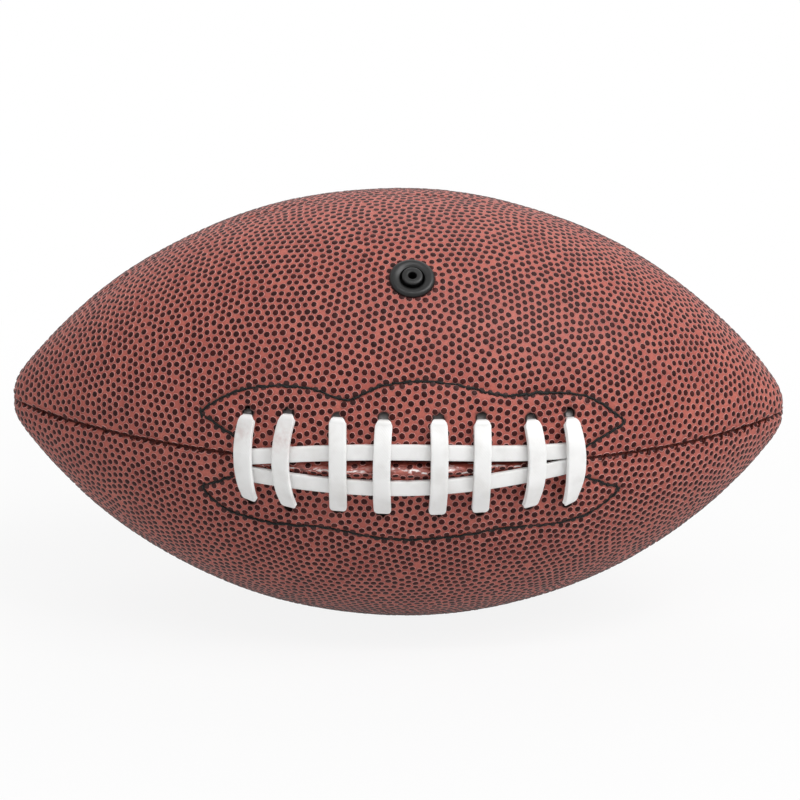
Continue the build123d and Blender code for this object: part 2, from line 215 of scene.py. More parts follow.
def layered(tree, colour, layers):
    """Mixes colours, each a hex or an output, over a first one. A layer is a share and a colour."""
    for share, layer in layers:
        under, over = (linear(part) if isinstance(part, str) else part for part in (colour, layer))
        colour = node(tree, "ShaderNodeMix", {0: share, 6: under, 7: over}, data_type="RGBA").outputs[2]
    return colour


# %% Material helpers
def new_material(name, roughness, specular=0.5):
    """A material, its tree, the shader that everything feeds, and places in the object's own space."""
    material = bpy.data.materials.new(name)
    material.use_nodes = True
    tree = material.node_tree
    tree.nodes.clear()
    shader = node(tree, "ShaderNodeBsdfPrincipled", {"Roughness": roughness, "Specular IOR Level": specular})
    node(tree, "ShaderNodeOutputMaterial", {"Surface": shader})
    return material, tree, shader, node(tree, "ShaderNodeTexCoord").outputs["Object"]


def dress(tree, shader, colour, height, strength, depth):
    """Feeds the shader a colour, and a bump of some strength and depth that follows a height."""
    bump = node(tree, "ShaderNodeBump", {"Height": height, "Strength": strength, "Distance": depth})
    tree.links.new(colour, shader.inputs["Base Color"])
    tree.links.new(bump.outputs[0], shader.inputs["Normal"])
    return bump


def wave_scale(spacing):
    """Scale of a wave texture whose stripes lie about this far apart. At scale 1 it has 20 in 2 pi."""
    return 2 * math.pi / 20 / spacing


# %% [markdown]
# ## The plan of the lacing
# Eight bars cross two strands, and each bar dives into a hole at either end. The panels have to
# know the holes before they are shaped, because the lace pulls the cover in there. The bars stand
# where the CAD model has them, but hand lacing is never quite even: it draws holes along and
# towards the slit, bows the outer bars and lays the strands on a slant. One row of numbers for
# each bar holds that, and each strand has a smooth line fitted through a few offsets.

# %% Plan of the bars and strands
LACING_LENGTH = 79.2 * MM
HOLE_RADIUS = 1.5 * MM
STRAND_WIDTH = 3.9 * MM
# Share of half the lacing's length, width and bow in mm, and then pairs for the lower and the upper
# end: arc from the seam to the leg and to the hole, shift along the ball, drift of the leg, all in
# mm, and lean in degrees.
Bar = namedtuple("Bar", "share width bow legs holes shifts drifts leans")
BAR_PLANS = (
    Bar(-1.0, 4.6, -1.3, (10.4, 9.8), (11.7, 11.1), (0.2, -0.85), (0, 1.5), (24, 16)),
    Bar(-0.745, 4.3, -1.9, (11.3, 10.9), (12.6, 11.8), (-0.2, -1.05), (0.3, 1.4), (18, 14)),
    Bar(-0.447, 4.3, -0.05, (11.6, 11.0), (12.1, 11.4), (0.1, -0.6), (0.3, 1.6), (3, 4)),
    Bar(-0.17, 4.3, -0.5, (11.8, 10.9), (12.6, 11.9), (0.1, -0.2), (0.3, 1.9), (3, 0)),
    Bar(0.17, 4.3, 0.15, (11.9, 11.2), (12.6, 11.9), (0.2, -0.2), (0.3, 1.6), (-3, -3)),
    Bar(0.447, 4.3, -0.1, (11.5, 11.0), (12.3, 12.0), (0.0, -0.3), (0.3, 1.7), (-3, 0)),
    Bar(0.745, 4.6, 1.2, (10.4, 10.5), (11.1, 11.3), (0.6, 0.35), (0.3, 1.5), (-20, -12)),
    Bar(1.0, 5.1, 1.2, (10.2, 10.3), (11.5, 12.0), (0.6, 0.15), (0, 1.9), (-30, -22)),
)
STRAND_PLAN = {
    "along": (-38.6, -25, -12.5, 0, 12, 24, 38.6),
    "upper": (0.4, 2.35, 3.4, 3.8, 3.6, 3.2, 2.95),
    "lower": (-4.3, -5.0, -5.4, -5.4, -4.3, -3.25, -1.1),
}
STRAND_BENDS = 4
END_HOLE_WALK = 41.3 * MM
END_HOLE_OFFSETS = (-1.5 * MM, 0.8 * MM)


# %% Where a bar stands
class BarPlace:
    """Where a bar stands: its foot on the seam, the way out, and the circle that the skin makes there."""

    def __init__(self, plan):
        self.walk = SIDE_RADIUS * math.asin(plan.share * LACING_LENGTH / 2 / SIDE_RADIUS)
        self.width = plan.width * MM
        self.bow = plan.bow * MM
        self.leans = np.radians(plan.leans)
        self.legs, self.holes, self.shifts, self.drifts = (
            np.array(pair) * MM for pair in (plan.legs, plan.holes, plan.shifts, plan.drifts))
        self.foot = skin(self.walk, 0)
        self.out = skin_normal(self.walk, 0)
        self.along = np.array((-self.out[1], self.out[0], 0))
        self.round = self.foot[1] / self.out[1]

    def outward(self, arc):
        """Directions out of the skin, at a length of arc above or below the seam."""
        angle = np.asarray(arc, float)[..., None] / self.round
        return np.cos(angle) * self.out + np.sin(angle) * np.array((0, 0, 1))

    def point(self, arc, height, shift=0.0):
        """Points at a height over the skin, at a length of arc from the seam, shifted along the ball.

        The lace is drawn in straight, not square to the sloping skin, so height takes back its slope.
        """
        middle = self.foot - self.round * self.out
        rise = (self.round + np.asarray(height, float))[..., None] * self.outward(arc)
        straight = shift - np.asarray(height, float) * self.out[0] / self.along[0]
        return middle + rise + np.asarray(straight, float)[..., None] * self.along

    def hole(self, end):
        """Middle of a hole's mouth and the direction out of it, at end 0 below or end 1 above."""
        arc = (-1, 1)[end] * self.holes[end]
        return self.point(arc, 0.0, self.shifts[end]), self.outward(arc)


# %% Holes and strands
bars = [BarPlace(plan) for plan in BAR_PLANS]
lacing_reach = bars[-1].walk
lace_holes = [bar.hole(end) for bar in bars for end in (0, 1)]
end_holes = []
for sign, offset in zip((-1, 1), END_HOLE_OFFSETS):
    turn = offset / meridian(END_HOLE_WALK)[1]
    end_holes.append((skin(sign * END_HOLE_WALK, turn), skin_normal(sign * END_HOLE_WALK, turn)))
strand_lines = {
    name: np.polyfit(STRAND_PLAN["along"], STRAND_PLAN[name], STRAND_BENDS) for name in ("upper", "lower")
}


def strand_offset(name, walk):
    """Distance of a strand's middle line above the seam."""
    return np.polyval(strand_lines[name], walk / MM) * MM


print(f"{len(lace_holes)} lace holes, {len(end_holes)} end holes, {2 * lacing_reach / MM:.1f} mm of seam")

# %% [markdown]
# ## The sewn outline of the facings
# A patch is sewn behind the lace holes, and its stitching shows outside as a wavy line above and
# below the lace. It is guided by hand, so the two lines differ. Each one is a few points on the
# ball: an inner end, a sharp corner, a curve that passes through the points of the long side, the
# other corner, and the other inner end. The panels get a shallow furrow along it.

# %% Facing outline
# Length along the ball and height above the lace seam, in mm.
FACING_PLANS = {
    "upper": ((-43.1, 4.4), (-52, 9.4), (-44, 15), (-35, 17.6), (-24, 17.7), (-16, 15.8), (-8.3, 19.1),
              (1.2, 20.6), (9.6, 20), (22.9, 17.1), (34.2, 17.1), (43, 15.7), (54, 8.1), (44, 3.3)),
    "lower": ((-44.2, -6.3), (-51.3, -9.8), (-46.5, -14.5), (-37, -17.4), (-20, -17.8), (-5.4, -20.2),
              (10.3, -19.7), (24, -17.5), (39.3, -16.9), (46, -15.1), (53.4, -9.2), (44, -4.8)),
}
LINE_STEPS = 16


def curve_through(points):
    """Smooth line through points, by a cubic over each span."""
    points = np.asarray(points, float)
    spans = np.linalg.norm(np.diff(points, axis=0), axis=1)[:, None]
    slopes = np.diff(points, axis=0) / spans
    inner = (slopes[:-1] * spans[1:] + slopes[1:] * spans[:-1]) / (spans[:-1] + spans[1:])
    slopes = np.vstack([slopes[:1] * 1.5 - inner[:1] / 2, inner, slopes[-1:] * 1.5 - inner[-1:] / 2])
    share = np.linspace(0, 1, LINE_STEPS, endpoint=False)[:, None]
    line = []
    for place, span in enumerate(spans):
        start, stop = points[place], points[place + 1]
        line.append(start * (1 + 2 * share) * (1 - share) ** 2 + stop * share**2 * (3 - 2 * share)
                    + span * share * (1 - share) * (slopes[place] * (1 - share) - slopes[place + 1] * share))
    return np.vstack([*line, points[-1:]])


def on_front(plan):
    """Walk and turn of points given as length along the ball and height above the lace seam."""
    walk = SIDE_RADIUS * np.arcsin(plan[:, 0] / SIDE_RADIUS)
    return walk, np.arcsin(plan[:, 1] / meridian(walk)[1])


facing_lines = {}
for half, plan in FACING_PLANS.items():
    plan = np.array(plan, float) * MM
    first = np.linspace(plan[0], plan[1], LINE_STEPS, endpoint=False)
    last = np.linspace(plan[-2], plan[-1], LINE_STEPS)
    facing_lines[half] = on_front(np.vstack([first, curve_through(plan[1:-1])[:-1], last]))
    print(f"{half} sewn line of {len(facing_lines[half][0])} points")

# %% [markdown]
# ## Cover panels
# Each panel is a quarter of the skin. On the ball its edges are turned in and sewn, so they roll
# over into the seam, and the air inside puffs them up between the stitches. A bevel would round
# the edge but not show the pull of thread and lace, so the panel is built ring by ring: each ring
# crosses the panel, rolls over both edges, and comes back along the inside of the cover. Heights
# then follow the rules of the cloth. Between the strands the lower edge of the slit has pushed up
# past the seam line, in a rounded fold that swells with the gap. The lace seam is closed last and
# by hand, so it gapes a little, while the other seams are machine sewn and tight.

# %% Sizes of a panel
SEAM_HALF_GAP = 0.15 * MM
SEAM_ROLL = 0.8 * MM
SEAM_PUFF = 0.4 * MM
SEAM_PUFF_REACH = 1.4 * MM
TIGHT_SHARE = 0.35
TIP_DIMPLE = 0.35 * MM
TIP_DIMPLE_REACH = 2.0 * MM
COVER_THICKNESS = 1.6 * MM
TURN_IN = 2.4 * MM
PANEL_DEPTH = 2.5 * MM
SEAM_STITCH_PITCH = 3.1 * MM
PUCKER = 0.1 * MM
TIP_MARGIN = 0.5 * MM
EDGE_STEPS = np.array((0.0, 0.05, 0.2, 0.45, 0.8, 1.2, 1.7, 2.3, 3.0)) * MM
COARSE_STEP = 1.5 * MM
FINE_STEP = 0.8 * MM
FINE_WALK = 57 * MM
FINE_EDGE = 24 * MM
INSIDE_COLUMNS = 10
NARROW_BANDS = 4

# %% Heights of the cover
SLIT_RISE = 0.9 * MM
SLIT_REACH = 34 * MM
SLIT_FADE = 5 * MM
LIP_BULGE_SHARE = 0.7
LIP_SPREAD_SHARE = 0.55
LIP_ROUNDNESS = 2.0
LIP_LEAST_CREST = 0.5 * MM
LIP_LIMIT = 3
LEAST_GAP = 0.01 * MM
LIP_TUCK = 0.7 * MM
LIP_TUCK_REACH = 1.0 * MM
LIP_WAVES = ((0.14, 1.3 * MM), (0.12, 0.61 * MM), (0.08, 0.4 * MM))
HOLE_DEPTH = 6 * MM
HOLE_PULL = 0.45 * MM
HOLE_PULL_REACH = 2.3 * MM
FURROW = 0.45 * MM
FURROW_REACH = 0.75 * MM
SWELL = 0.12 * MM
SWELL_LENGTH = 46 * MM
SWELL_TURNS = 3

furrow_points = []
for walk, turn in facing_lines.values():
    furrow_points.extend(skin(walk, turn))
furrow_tree = KDTree(len(furrow_points))
for place, point in enumerate(furrow_points):
    furrow_tree.insert(point, place)
furrow_tree.balance()


def seam_heights(walk, edge, share):
    """Height of the cover near a seam: a quarter round, a puff, a pucker at each stitch, all scaled."""
    bend = SEAM_ROLL * share
    corner = np.clip(bend - edge, 0, bend)
    roll = bend - np.sqrt(bend**2 - corner**2)
    pucker = PUCKER * np.cos(math.pi * walk / SEAM_STITCH_PITCH) ** 2
    return -roll - share * (SEAM_PUFF + pucker) * np.exp(-edge / SEAM_PUFF_REACH)


def tip_heights(walk):
    """The four seams meet at each tip and draw it in."""
    return -TIP_DIMPLE * np.exp(-(((TIP_REACH - np.abs(walk)) / TIP_DIMPLE_REACH) ** 2))


def slit_place(walk):
    """How far the slit lies above the seam line, as the lower lip pushes up past it."""
    return SLIT_RISE * np.clip(1 - (walk / SLIT_REACH) ** 2, 0, None)


def bare_gap(walk):
    """Middle and half width of the bare cover between the two strands."""
    top = strand_offset("upper", walk) - STRAND_WIDTH / 2
    bottom = strand_offset("lower", walk) + STRAND_WIDTH / 2
    half = np.clip((top - bottom) / 2, LEAST_GAP, None)
    return (top + bottom) / 2, np.where(np.abs(walk) < lacing_reach, half, LEAST_GAP)


def lip_form(walk, edge, upper):
    """Height, polish and place on the fold of the slit's lips: the lower swells, the upper tucks in."""
    middle, half = bare_gap(walk)
    openness = np.minimum(half / LIP_TUCK_REACH, 1)
    if upper:
        return -LIP_TUCK * openness * np.exp(-edge / LIP_TUCK_REACH), 0 * edge, 0 * edge
    crest = np.clip(slit_place(walk) - middle, LIP_LEAST_CREST, None)
    place = np.clip((edge - crest) / half, -LIP_LIMIT, LIP_LIMIT)
    fold = np.exp(-(np.abs(place / LIP_SPREAD_SHARE) ** LIP_ROUNDNESS))
    waves = 1 + sum(share * np.sin(walk / length + edge / (2 * length)) for share, length in LIP_WAVES)
    return LIP_BULGE_SHARE * half * waves * fold, openness * fold, place


def hole_distance(points):
    """Distance of points near the cover's holes from the axis of the nearest one."""
    nearest = np.full(points.shape[:-1], BALL_LENGTH)
    for middle, way in lace_holes + end_holes:
        arm = points - middle
        along = arm @ way
        off = np.linalg.norm(arm - along[..., None] * way, axis=-1)
        nearest = np.where(np.abs(along) < HOLE_DEPTH, np.minimum(nearest, off), nearest)
    return nearest


def sewing_distance(points):
    """Distance of points from the sewn outline."""
    far = [furrow_tree.find(point)[2] for point in points.reshape(-1, 3)]
    return np.array(far).reshape(points.shape[:-1])


lip_rise = LIP_BULGE_SHARE * bare_gap(0.0)[1] / MM
print(f"furrow of {len(furrow_points)} points, lower lip about {lip_rise:.2f} mm high in the middle")

# %% Build a panel
VALVE_TURN = math.radians(50)
VALVE_HOLE_RADIUS = 5.85 * MM
GRAIN_EDGE = 0.4 * MM
HOLE_MARGIN = 1.2 * MM
SEWING_SHEEN_REACH = 1.0 * MM
CREST_WIDTH = 0.72
valve_middle = skin(0, VALVE_TURN)
valve_way = skin_normal(0, VALVE_TURN)
PANELS = {
    "front_upper": (0, 1),
    "front_lower": (0, -1),
    "back_upper": (math.pi, -1),
    "back_lower": (math.pi, 1),
}


def spaced(start, stop, step):
    """Even steps from start up to stop, about this long."""
    return np.linspace(start, stop, max(2, round((stop - start) / step) + 1))


def panel_grid(front):
    """Walks along a panel and columns across it, closer together round the lacing."""
    end = TIP_REACH - TIP_MARGIN
    broad = BALL_RADIUS * math.pi / 2
    band = EDGE_STEPS[-1]
    if not front:
        return spaced(-end, end, COARSE_STEP), spaced(0, 1, COARSE_STEP / broad)[1:-1]
    outer = spaced(FINE_WALK, end, COARSE_STEP)
    walks = np.concatenate([-outer[:0:-1], spaced(-FINE_WALK, FINE_WALK, FINE_STEP), outer[1:]])
    fine = spaced(band, FINE_EDGE, FINE_STEP)[1:]
    coarse = spaced(FINE_EDGE, broad - band, COARSE_STEP)[1:-1]
    return walks, (np.concatenate([fine, coarse]) - band) / (broad - 2 * band)


def pull_in(walk, across, turn, upper, height, marks):
    """Shapes a front panel at its holes, its sewing and the slit, and marks where these show."""
    bare = skin(walk, turn)
    from_hole = hole_distance(bare)
    from_sewing = sewing_distance(bare)
    lips, marks["polish"], marks["fold"] = lip_form(walk, across, upper)
    height += lips - HOLE_PULL * np.exp(-((from_hole / HOLE_PULL_REACH) ** 2))
    height -= FURROW * np.exp(-((from_sewing / FURROW_REACH) ** 2))
    # How near the sewing a point lies. This sets the grey painted sheen of the pebbles there.
    marks["press"] = np.exp(-((from_sewing / SEWING_SHEEN_REACH) ** 2))
    marks["grain"] *= np.clip((from_hole - HOLE_RADIUS - HOLE_MARGIN) / GRAIN_EDGE, 0, 1)
    marks["grain"] *= marks["polish"] < CREST_WIDTH
    if upper:
        from_valve = np.linalg.norm(bare - valve_middle, axis=-1)
        marks["grain"] *= np.clip((from_valve - VALVE_HOLE_RADIUS) / GRAIN_EDGE, 0, 1)


def panel_rings(name):
    """Rings of one panel, and marks on its points: where it has grain, where it shines, where it is sewn."""
    start, way = PANELS[name]
    front = start == 0
    walks, columns = panel_grid(front)
    walk = walks[:, None]
    around = meridian(walk)[1]
    broad = around * math.pi / 2 - 2 * SEAM_HALF_GAP
    shrink = np.minimum(1, broad / (NARROW_BANDS * EDGE_STEPS[-1]))
    near = EDGE_STEPS * shrink
    middle = near[:, -1:] + (broad - 2 * near[:, -1:]) * columns
    across = np.concatenate([near, middle, (broad - near)[:, ::-1]], 1)
    turn_in = TURN_IN * shrink
    inside = turn_in + (broad - 2 * turn_in) * np.linspace(1, 0, INSIDE_COLUMNS)
    deep_across = np.concatenate([broad, broad - turn_in, inside, turn_in, 0 * broad], 1)
    deep = np.full(deep_across.shape, -COVER_THICKNESS)
    deep[:, [0, 1, -2, -1]] = -PANEL_DEPTH

    def turn_at(length):
        slide = slit_place(walk) * np.exp(-length / SLIT_FADE) if front else 0
        return start + (way * (length + SEAM_HALF_GAP) + slide) / around

    edge = np.minimum(across, broad - across)
    turn = turn_at(across)
    share = np.where((across < broad / 2) & front, 1.0, TIGHT_SHARE)
    height = seam_heights(walk, edge, share) * shrink + tip_heights(walk)
    height += SWELL * np.sin(walk / SWELL_LENGTH * 2 * math.pi + start) * np.sin(SWELL_TURNS * turn)
    marks = {mark: 0 * edge for mark in ("polish", "press", "fold")}
    marks["grain"] = np.clip(edge / GRAIN_EDGE - 0.5, 0, 1)
    if front:
        pull_in(walk, across, turn, way > 0, height, marks)
    points = np.concatenate([skin(walk, turn, height), skin(walk, turn_at(deep_across), deep)], 1)
    return points, {mark: np.concatenate([values, 0 * deep], 1) for mark, values in marks.items()}


# %% Cut the holes
DRILL_SIDES = 28
RIM_REACH = 0.5 * MM
SHARP_EDGE = math.radians(50)


def drill(places, radius, depth):
    """Cutting cylinders as one mesh: each stands at a place and runs both ways along its direction."""
    form = bmesh.new()
    for middle, way in places:
        turn = Vector(way).to_track_quat("Z", "Y").to_matrix().to_4x4()
        bmesh.ops.create_cone(form, cap_ends=True, segments=DRILL_SIDES, radius1=radius, radius2=radius,
                              depth=2 * depth, matrix=Matrix.Translation(Vector(middle)) @ turn)
    mesh = bpy.data.meshes.new("drill")
    form.to_mesh(mesh)
    form.free()
    return add_object("drill", mesh)


lace_drill = drill(lace_holes + end_holes, HOLE_RADIUS, 2 * PANEL_DEPTH)
valve_drill = drill([(valve_middle, valve_way)], VALVE_HOLE_RADIUS, 2 * PANEL_DEPTH)
cutters = {"front_upper": (lace_drill, valve_drill), "front_lower": (lace_drill,)}
panels = {}
for name in PANELS:
    points, marks = panel_rings(name)
    piece = new_piece(f"cover_panel_{name}", points, tube_faces(*points.shape[:2]))
    for mark, values in marks.items():
        store(piece, mark, values)
    for cutter in cutters.get(name, ()):
        cut = piece.modifiers.new("holes", "BOOLEAN")
        cut.operation = "DIFFERENCE"
        cut.solver = "EXACT"
        cut.object = cutter
    settle(piece)
    spots = np.array([vertex.co for vertex in piece.data.vertices])
    store(piece, "rim", np.clip(1 - (hole_distance(spots) - HOLE_RADIUS) / RIM_REACH, 0, 1))
    piece.data.set_sharp_from_angle(angle=SHARP_EDGE)
    panels[name] = piece
    print(piece.name, len(piece.data.polygons), "faces before pebbles")
for cutter in (lace_drill, valve_drill):
    bpy.data.objects.remove(cutter)

# %% [markdown]
# ## Pebbled cover materials
# The cover is embossed composite leather: a red-brown polyurethane skin, with its raised pebbles
# rolled over in dark ink. The eye gets near-black dots with a red edge and a pale foot, on a ground
# with a soft sheen that is never one colour. The ground's colour is one function, because the feet
# of the pebbles show it too. The pebbles carry a number that runs from 0 at the foot to 1 on top,
# so the ink follows the real shape. Noise rubs it thin in places, and pebbles beside the sewing get
# a grey painted sheen. The fold at the slit is the same skin, rubbed glossy by the lace and creased,
# with painted shade in its creases and at its edges, and a pale painted glint along its crest.

# %% Cover materials
GROUND_PATCH = 7 * MM
GROUND_GRIT = 0.45 * MM
TOOTH = (0.25, 0.06 * MM)  # strength and depth of the bump
RUBBED_PATCH = 15 * MM
CREASE = 1.3 * MM
CREASE_STRETCH = 0.4
GLINT_WANDER = 3 * MM


def leather_ground(tree, place):
    """Colour of the bare skin, two close red-browns with darker specks, and the height of its tooth."""
    patches, grit = (node(tree, "ShaderNodeTexNoise", {"Vector": place, "Scale": 1 / size, "Detail": detail})
                     for size, detail in ((GROUND_PATCH, 4), (GROUND_GRIT, 3)))
    spread = node(tree, "ShaderNodeMapRange", {"Value": patches, 1: 0.35, 2: 0.65})
    specks = node(tree, "ShaderNodeMapRange", {"Value": grit, 1: 0.4, 2: 0.7, 4: 0.5})
    return layered(tree, "#A5544A", ((spread, "#B76558"), (specks, "#8C443B"))), grit


def composite_leather():
    """Skin between the pebbles: red-brown with a soft sheen, and dark on the rims of the holes."""
    material, tree, shader, place = new_material("composite_leather_embossed", 0.55, 0.35)
    rim = node(tree, "ShaderNodeAttribute", attribute_name="rim").outputs["Fac"]
    ground, tooth = leather_ground(tree, place)
    dress(tree, shader, layered(tree, ground, ((rim, "#2A1816"),)), tooth, *TOOTH)
    return material


def fold_leather_with_painted_light():
    """The skin of the fold that the lace wears glossy: creased, with painted shade in the creases and at the
    edges, and a pale painted glint along the crest.
    """
    material, tree, shader, place = new_material("composite_leather_rubbed_with_painted_glint_and_shade", 0.2, 0.6)
    fold = node(tree, "ShaderNodeAttribute", attribute_name="fold").outputs["Fac"]
    ground, tooth = leather_ground(tree, place)
    stretched = node(tree, "ShaderNodeMapping", {"Vector": place, "Scale": (CREASE_STRETCH, 1, 1)})
    creases, wander = (node(tree, "ShaderNodeTexNoise", {"Vector": stretched, "Scale": 1 / size, "Detail": 4})
                       for size in (CREASE, GLINT_WANDER))
    line = node(tree, "ShaderNodeMapRange", {"Value": wander, 1: 0.3, 2: 0.7, 3: -0.55, 4: 0.35})
    off = node(tree, "ShaderNodeMath", {0: fold, 1: line}, operation="SUBTRACT")
    off, away = (node(tree, "ShaderNodeMath", {0: value}, operation="ABSOLUTE") for value in (off, fold))
    # A pale painted glint along a wavy line near the crest of the fold, broken up by the creases.
    crest = node(tree, "ShaderNodeMapRange", {"Value": off, 1: 0.07, 2: 0.22, 3: 1, 4: 0})
    broken = node(tree, "ShaderNodeMapRange", {"Value": creases, 1: 0.43, 2: 0.52})
    wear_and_painted_glint = node(tree, "ShaderNodeMath", {0: crest, 1: broken}, operation="MULTIPLY")
    # Painted shade in the creases, and darker painted shade towards the edges of the fold.
    painted_crease_shade = node(tree, "ShaderNodeMapRange", {"Value": creases, 1: 0.5, 2: 0.3, 4: 0.8})
    painted_edge_shade = node(tree, "ShaderNodeMapRange", {"Value": away, 1: 0.5, 2: 1, 4: 0.85})
    layers = ((0.5, "#9A4535"), (painted_crease_shade, "#3C1511"), (painted_edge_shade, "#260E0B"), (wear_and_painted_glint, "#F2E9E6"))
    bump = dress(tree, shader, layered(tree, ground, layers), tooth, *TOOTH)
    deep = {"Height": creases, "Strength": 0.9, "Distance": 0.8 * MM, "Normal": bump}
    tree.links.new(node(tree, "ShaderNodeBump", deep).outputs[0], shader.inputs["Normal"])
    return material


def inked_pebble():
    """A pebble: skin at the foot, then a thin red edge of ink, and matte near-black ink on top."""
    material, tree, shader, place = new_material("composite_leather_inked", 0.45, 0.14)
    dot, shade, pressed = (node(tree, "ShaderNodeAttribute", attribute_name=mark).outputs["Fac"]
                           for mark in ("dot", "shade", "pressed"))
    ground, tooth = leather_ground(tree, place)
    rubbing = node(tree, "ShaderNodeTexNoise", {"Vector": place, "Scale": 1 / RUBBED_PATCH, "Detail": 5})
    wear_and_painted_glint = node(tree, "ShaderNodeMapRange", {"Value": rubbing, 1: 0.58, 2: 0.72, 4: 0.5})
    # Pebbles beside the sewing are lightened to grey: a painted sheen.
    painted_sheen_share = node(tree, "ShaderNodeMapRange", {"Value": pressed, 1: 0.3, 2: 1, 4: 0.35})
    ink = layered(tree, "#260807", ((shade, "#3B100E"), (wear_and_painted_glint, "#5E312B"), (painted_sheen_share, "#514A4A")))
    foot, edge, top = (node(tree, "ShaderNodeMapRange", {"Value": dot, 1: low, 2: high, 4: most})
                       for low, high, most in ((0.1, 0.25, 0.9), (0.4, 0.5, 1), (0.5, 0.85, 1)))
    colour = layered(tree, ground, ((foot, "#D09C96"), (edge, "#45120F"), (top, ink)))
    dress(tree, shader, colour, tooth, *TOOTH)
    return material


cover_materials = {"Leather": composite_leather(), "RubbedWithPaintedLight": fold_leather_with_painted_light(), "Inked": inked_pebble()}
for material in cover_materials.values():
    print("material", material.name, "with", len(material.node_tree.nodes), "nodes")

# %% [markdown]
# ## Pebbles
# The grain is pressed by an engraved roller: low domes in a nearly even scatter, about 2 mm
# apart. A bump map would leave the outline smooth, so the domes are real. A geometry tree scatters
# points with a least distance. Then, many times over, it eases every point away from its nearest
# neighbour and back onto the skin, which evens the scatter the way an engraver would. Each point
# then gets a dome with its own size, spin and shade.

# %% Pebble dome
PEBBLE_PITCH = 2.2 * MM
PEBBLE_SIDES = 7
PEBBLE_RINGS = ((0.98, -0.05), (0.78, 0.13), (0.54, 0.22))


def pebble_dome():
    """A low closed dome, with the number that tells foot from top."""
    rings = [(radius * MM, height * MM) for radius, height in PEBBLE_RINGS]
    angles = np.arange(PEBBLE_SIDES) / PEBBLE_SIDES * 2 * math.pi
    points = [(r * math.cos(a), r * math.sin(a), h) for r, h in rings for a in angles]
    dome = new_piece("pebble", points, tube_faces(len(rings), PEBBLE_SIDES))
    store(dome, "dot", np.repeat((0.0, 0.5, 1.0), PEBBLE_SIDES))
    return dome


# %% Geometry tree helpers
def new_tree(name, taken, result):
    """An empty geometry tree with named inputs and one result, and the outputs of what it is given."""
    tree = bpy.data.node_groups.new(name, "GeometryNodeTree")
    for socket, kind in taken.items():
        tree.interface.new_socket(socket, in_out="INPUT", socket_type=f"NodeSocket{kind}")
    tree.interface.new_socket(result, in_out="OUTPUT", socket_type="NodeSocketGeometry")
    return tree, node(tree, "NodeGroupInput").outputs


def copies(tree, points, shape, stand, angle, size):
    """Copies of an object, one stood on each point, spun by an angle and sized."""
    spin = node(tree, "FunctionNodeAxisAngleToRotation", {"Axis": (0, 0, 1), "Angle": angle})
    turned = node(tree, "FunctionNodeRotateRotation", {0: stand, 1: spin}, rotation_space="LOCAL")
    shape = node(tree, "GeometryNodeObjectInfo", {"Object": shape}).outputs["Geometry"]
    return node(tree, "GeometryNodeInstanceOnPoints",
                {"Points": points, "Instance": shape, "Rotation": turned, "Scale": size})


def grow(piece, tree, **values):
    """Runs a geometry tree on a piece, with its inputs given by their names, and keeps the mesh."""
    modifier = piece.modifiers.new(tree.name, "NODES")
    modifier.node_group = tree
    for socket in tree.interface.items_tree:
        if socket.in_out == "INPUT" and socket.name in values:
            modifier[socket.identifier] = values[socket.name]
    return settle(piece)


# %% Even out a scatter
EASE_ROUNDS = 120
EASE_SHARE = 0.35


def eased(tree, scatter, ground, pitch):
    """Points that were moved apart, up to the pitch, and back onto the ground, in many rounds."""
    begin = node(tree, "GeometryNodeRepeatInput")
    end = node(tree, "GeometryNodeRepeatOutput")
    begin.pair_with_output(end)
    begin.inputs["Iterations"].default_value = EASE_ROUNDS
    tree.links.new(scatter, begin.inputs["Geometry"])
    points = begin.outputs["Geometry"]
    here = node(tree, "GeometryNodeInputPosition")
    nearest = node(tree, "GeometryNodeIndexOfNearest")
    there = node(tree, "GeometryNodeSampleIndex", {"Geometry": points, "Value": here, "Index": nearest},
                 data_type="FLOAT_VECTOR")
    apart = node(tree, "ShaderNodeVectorMath", {0: here, 1: there}, operation="SUBTRACT")
    length = node(tree, "ShaderNodeVectorMath", {0: apart}, operation="LENGTH").outputs["Value"]
    short = node(tree, "ShaderNodeMath", {0: pitch, 1: length}, operation="SUBTRACT")
    short = node(tree, "ShaderNodeMath", {0: short, 1: 0.0}, operation="MAXIMUM")
    step = node(tree, "ShaderNodeMath", {0: short, 1: EASE_SHARE}, operation="MULTIPLY")
    aim = node(tree, "ShaderNodeVectorMath", {0: apart}, operation="NORMALIZE")
    push = node(tree, "ShaderNodeVectorMath", {0: aim, "Scale": step}, operation="SCALE")
    moved = node(tree, "ShaderNodeVectorMath", {0: here, 1: push}, operation="ADD")
    back = node(tree, "GeometryNodeProximity", {0: ground, "Sample Position": moved}, target_element="FACES")
    after = node(tree, "GeometryNodeSetPosition", {"Geometry": points, "Position": back})
    tree.links.new(after.outputs[0], end.inputs["Geometry"])
    return end.outputs["Geometry"]


# %% Pebble tree
LEAST_SHARE = 0.75
DENSE_SCATTER = 6e6
GRAIN_LIMIT = 0.05
POLISH_LIMIT = 0.3
LEAST_SIZE = (0.88, 0.88, 0.8)
MOST_SIZE = (1.1, 1.1, 1.15)


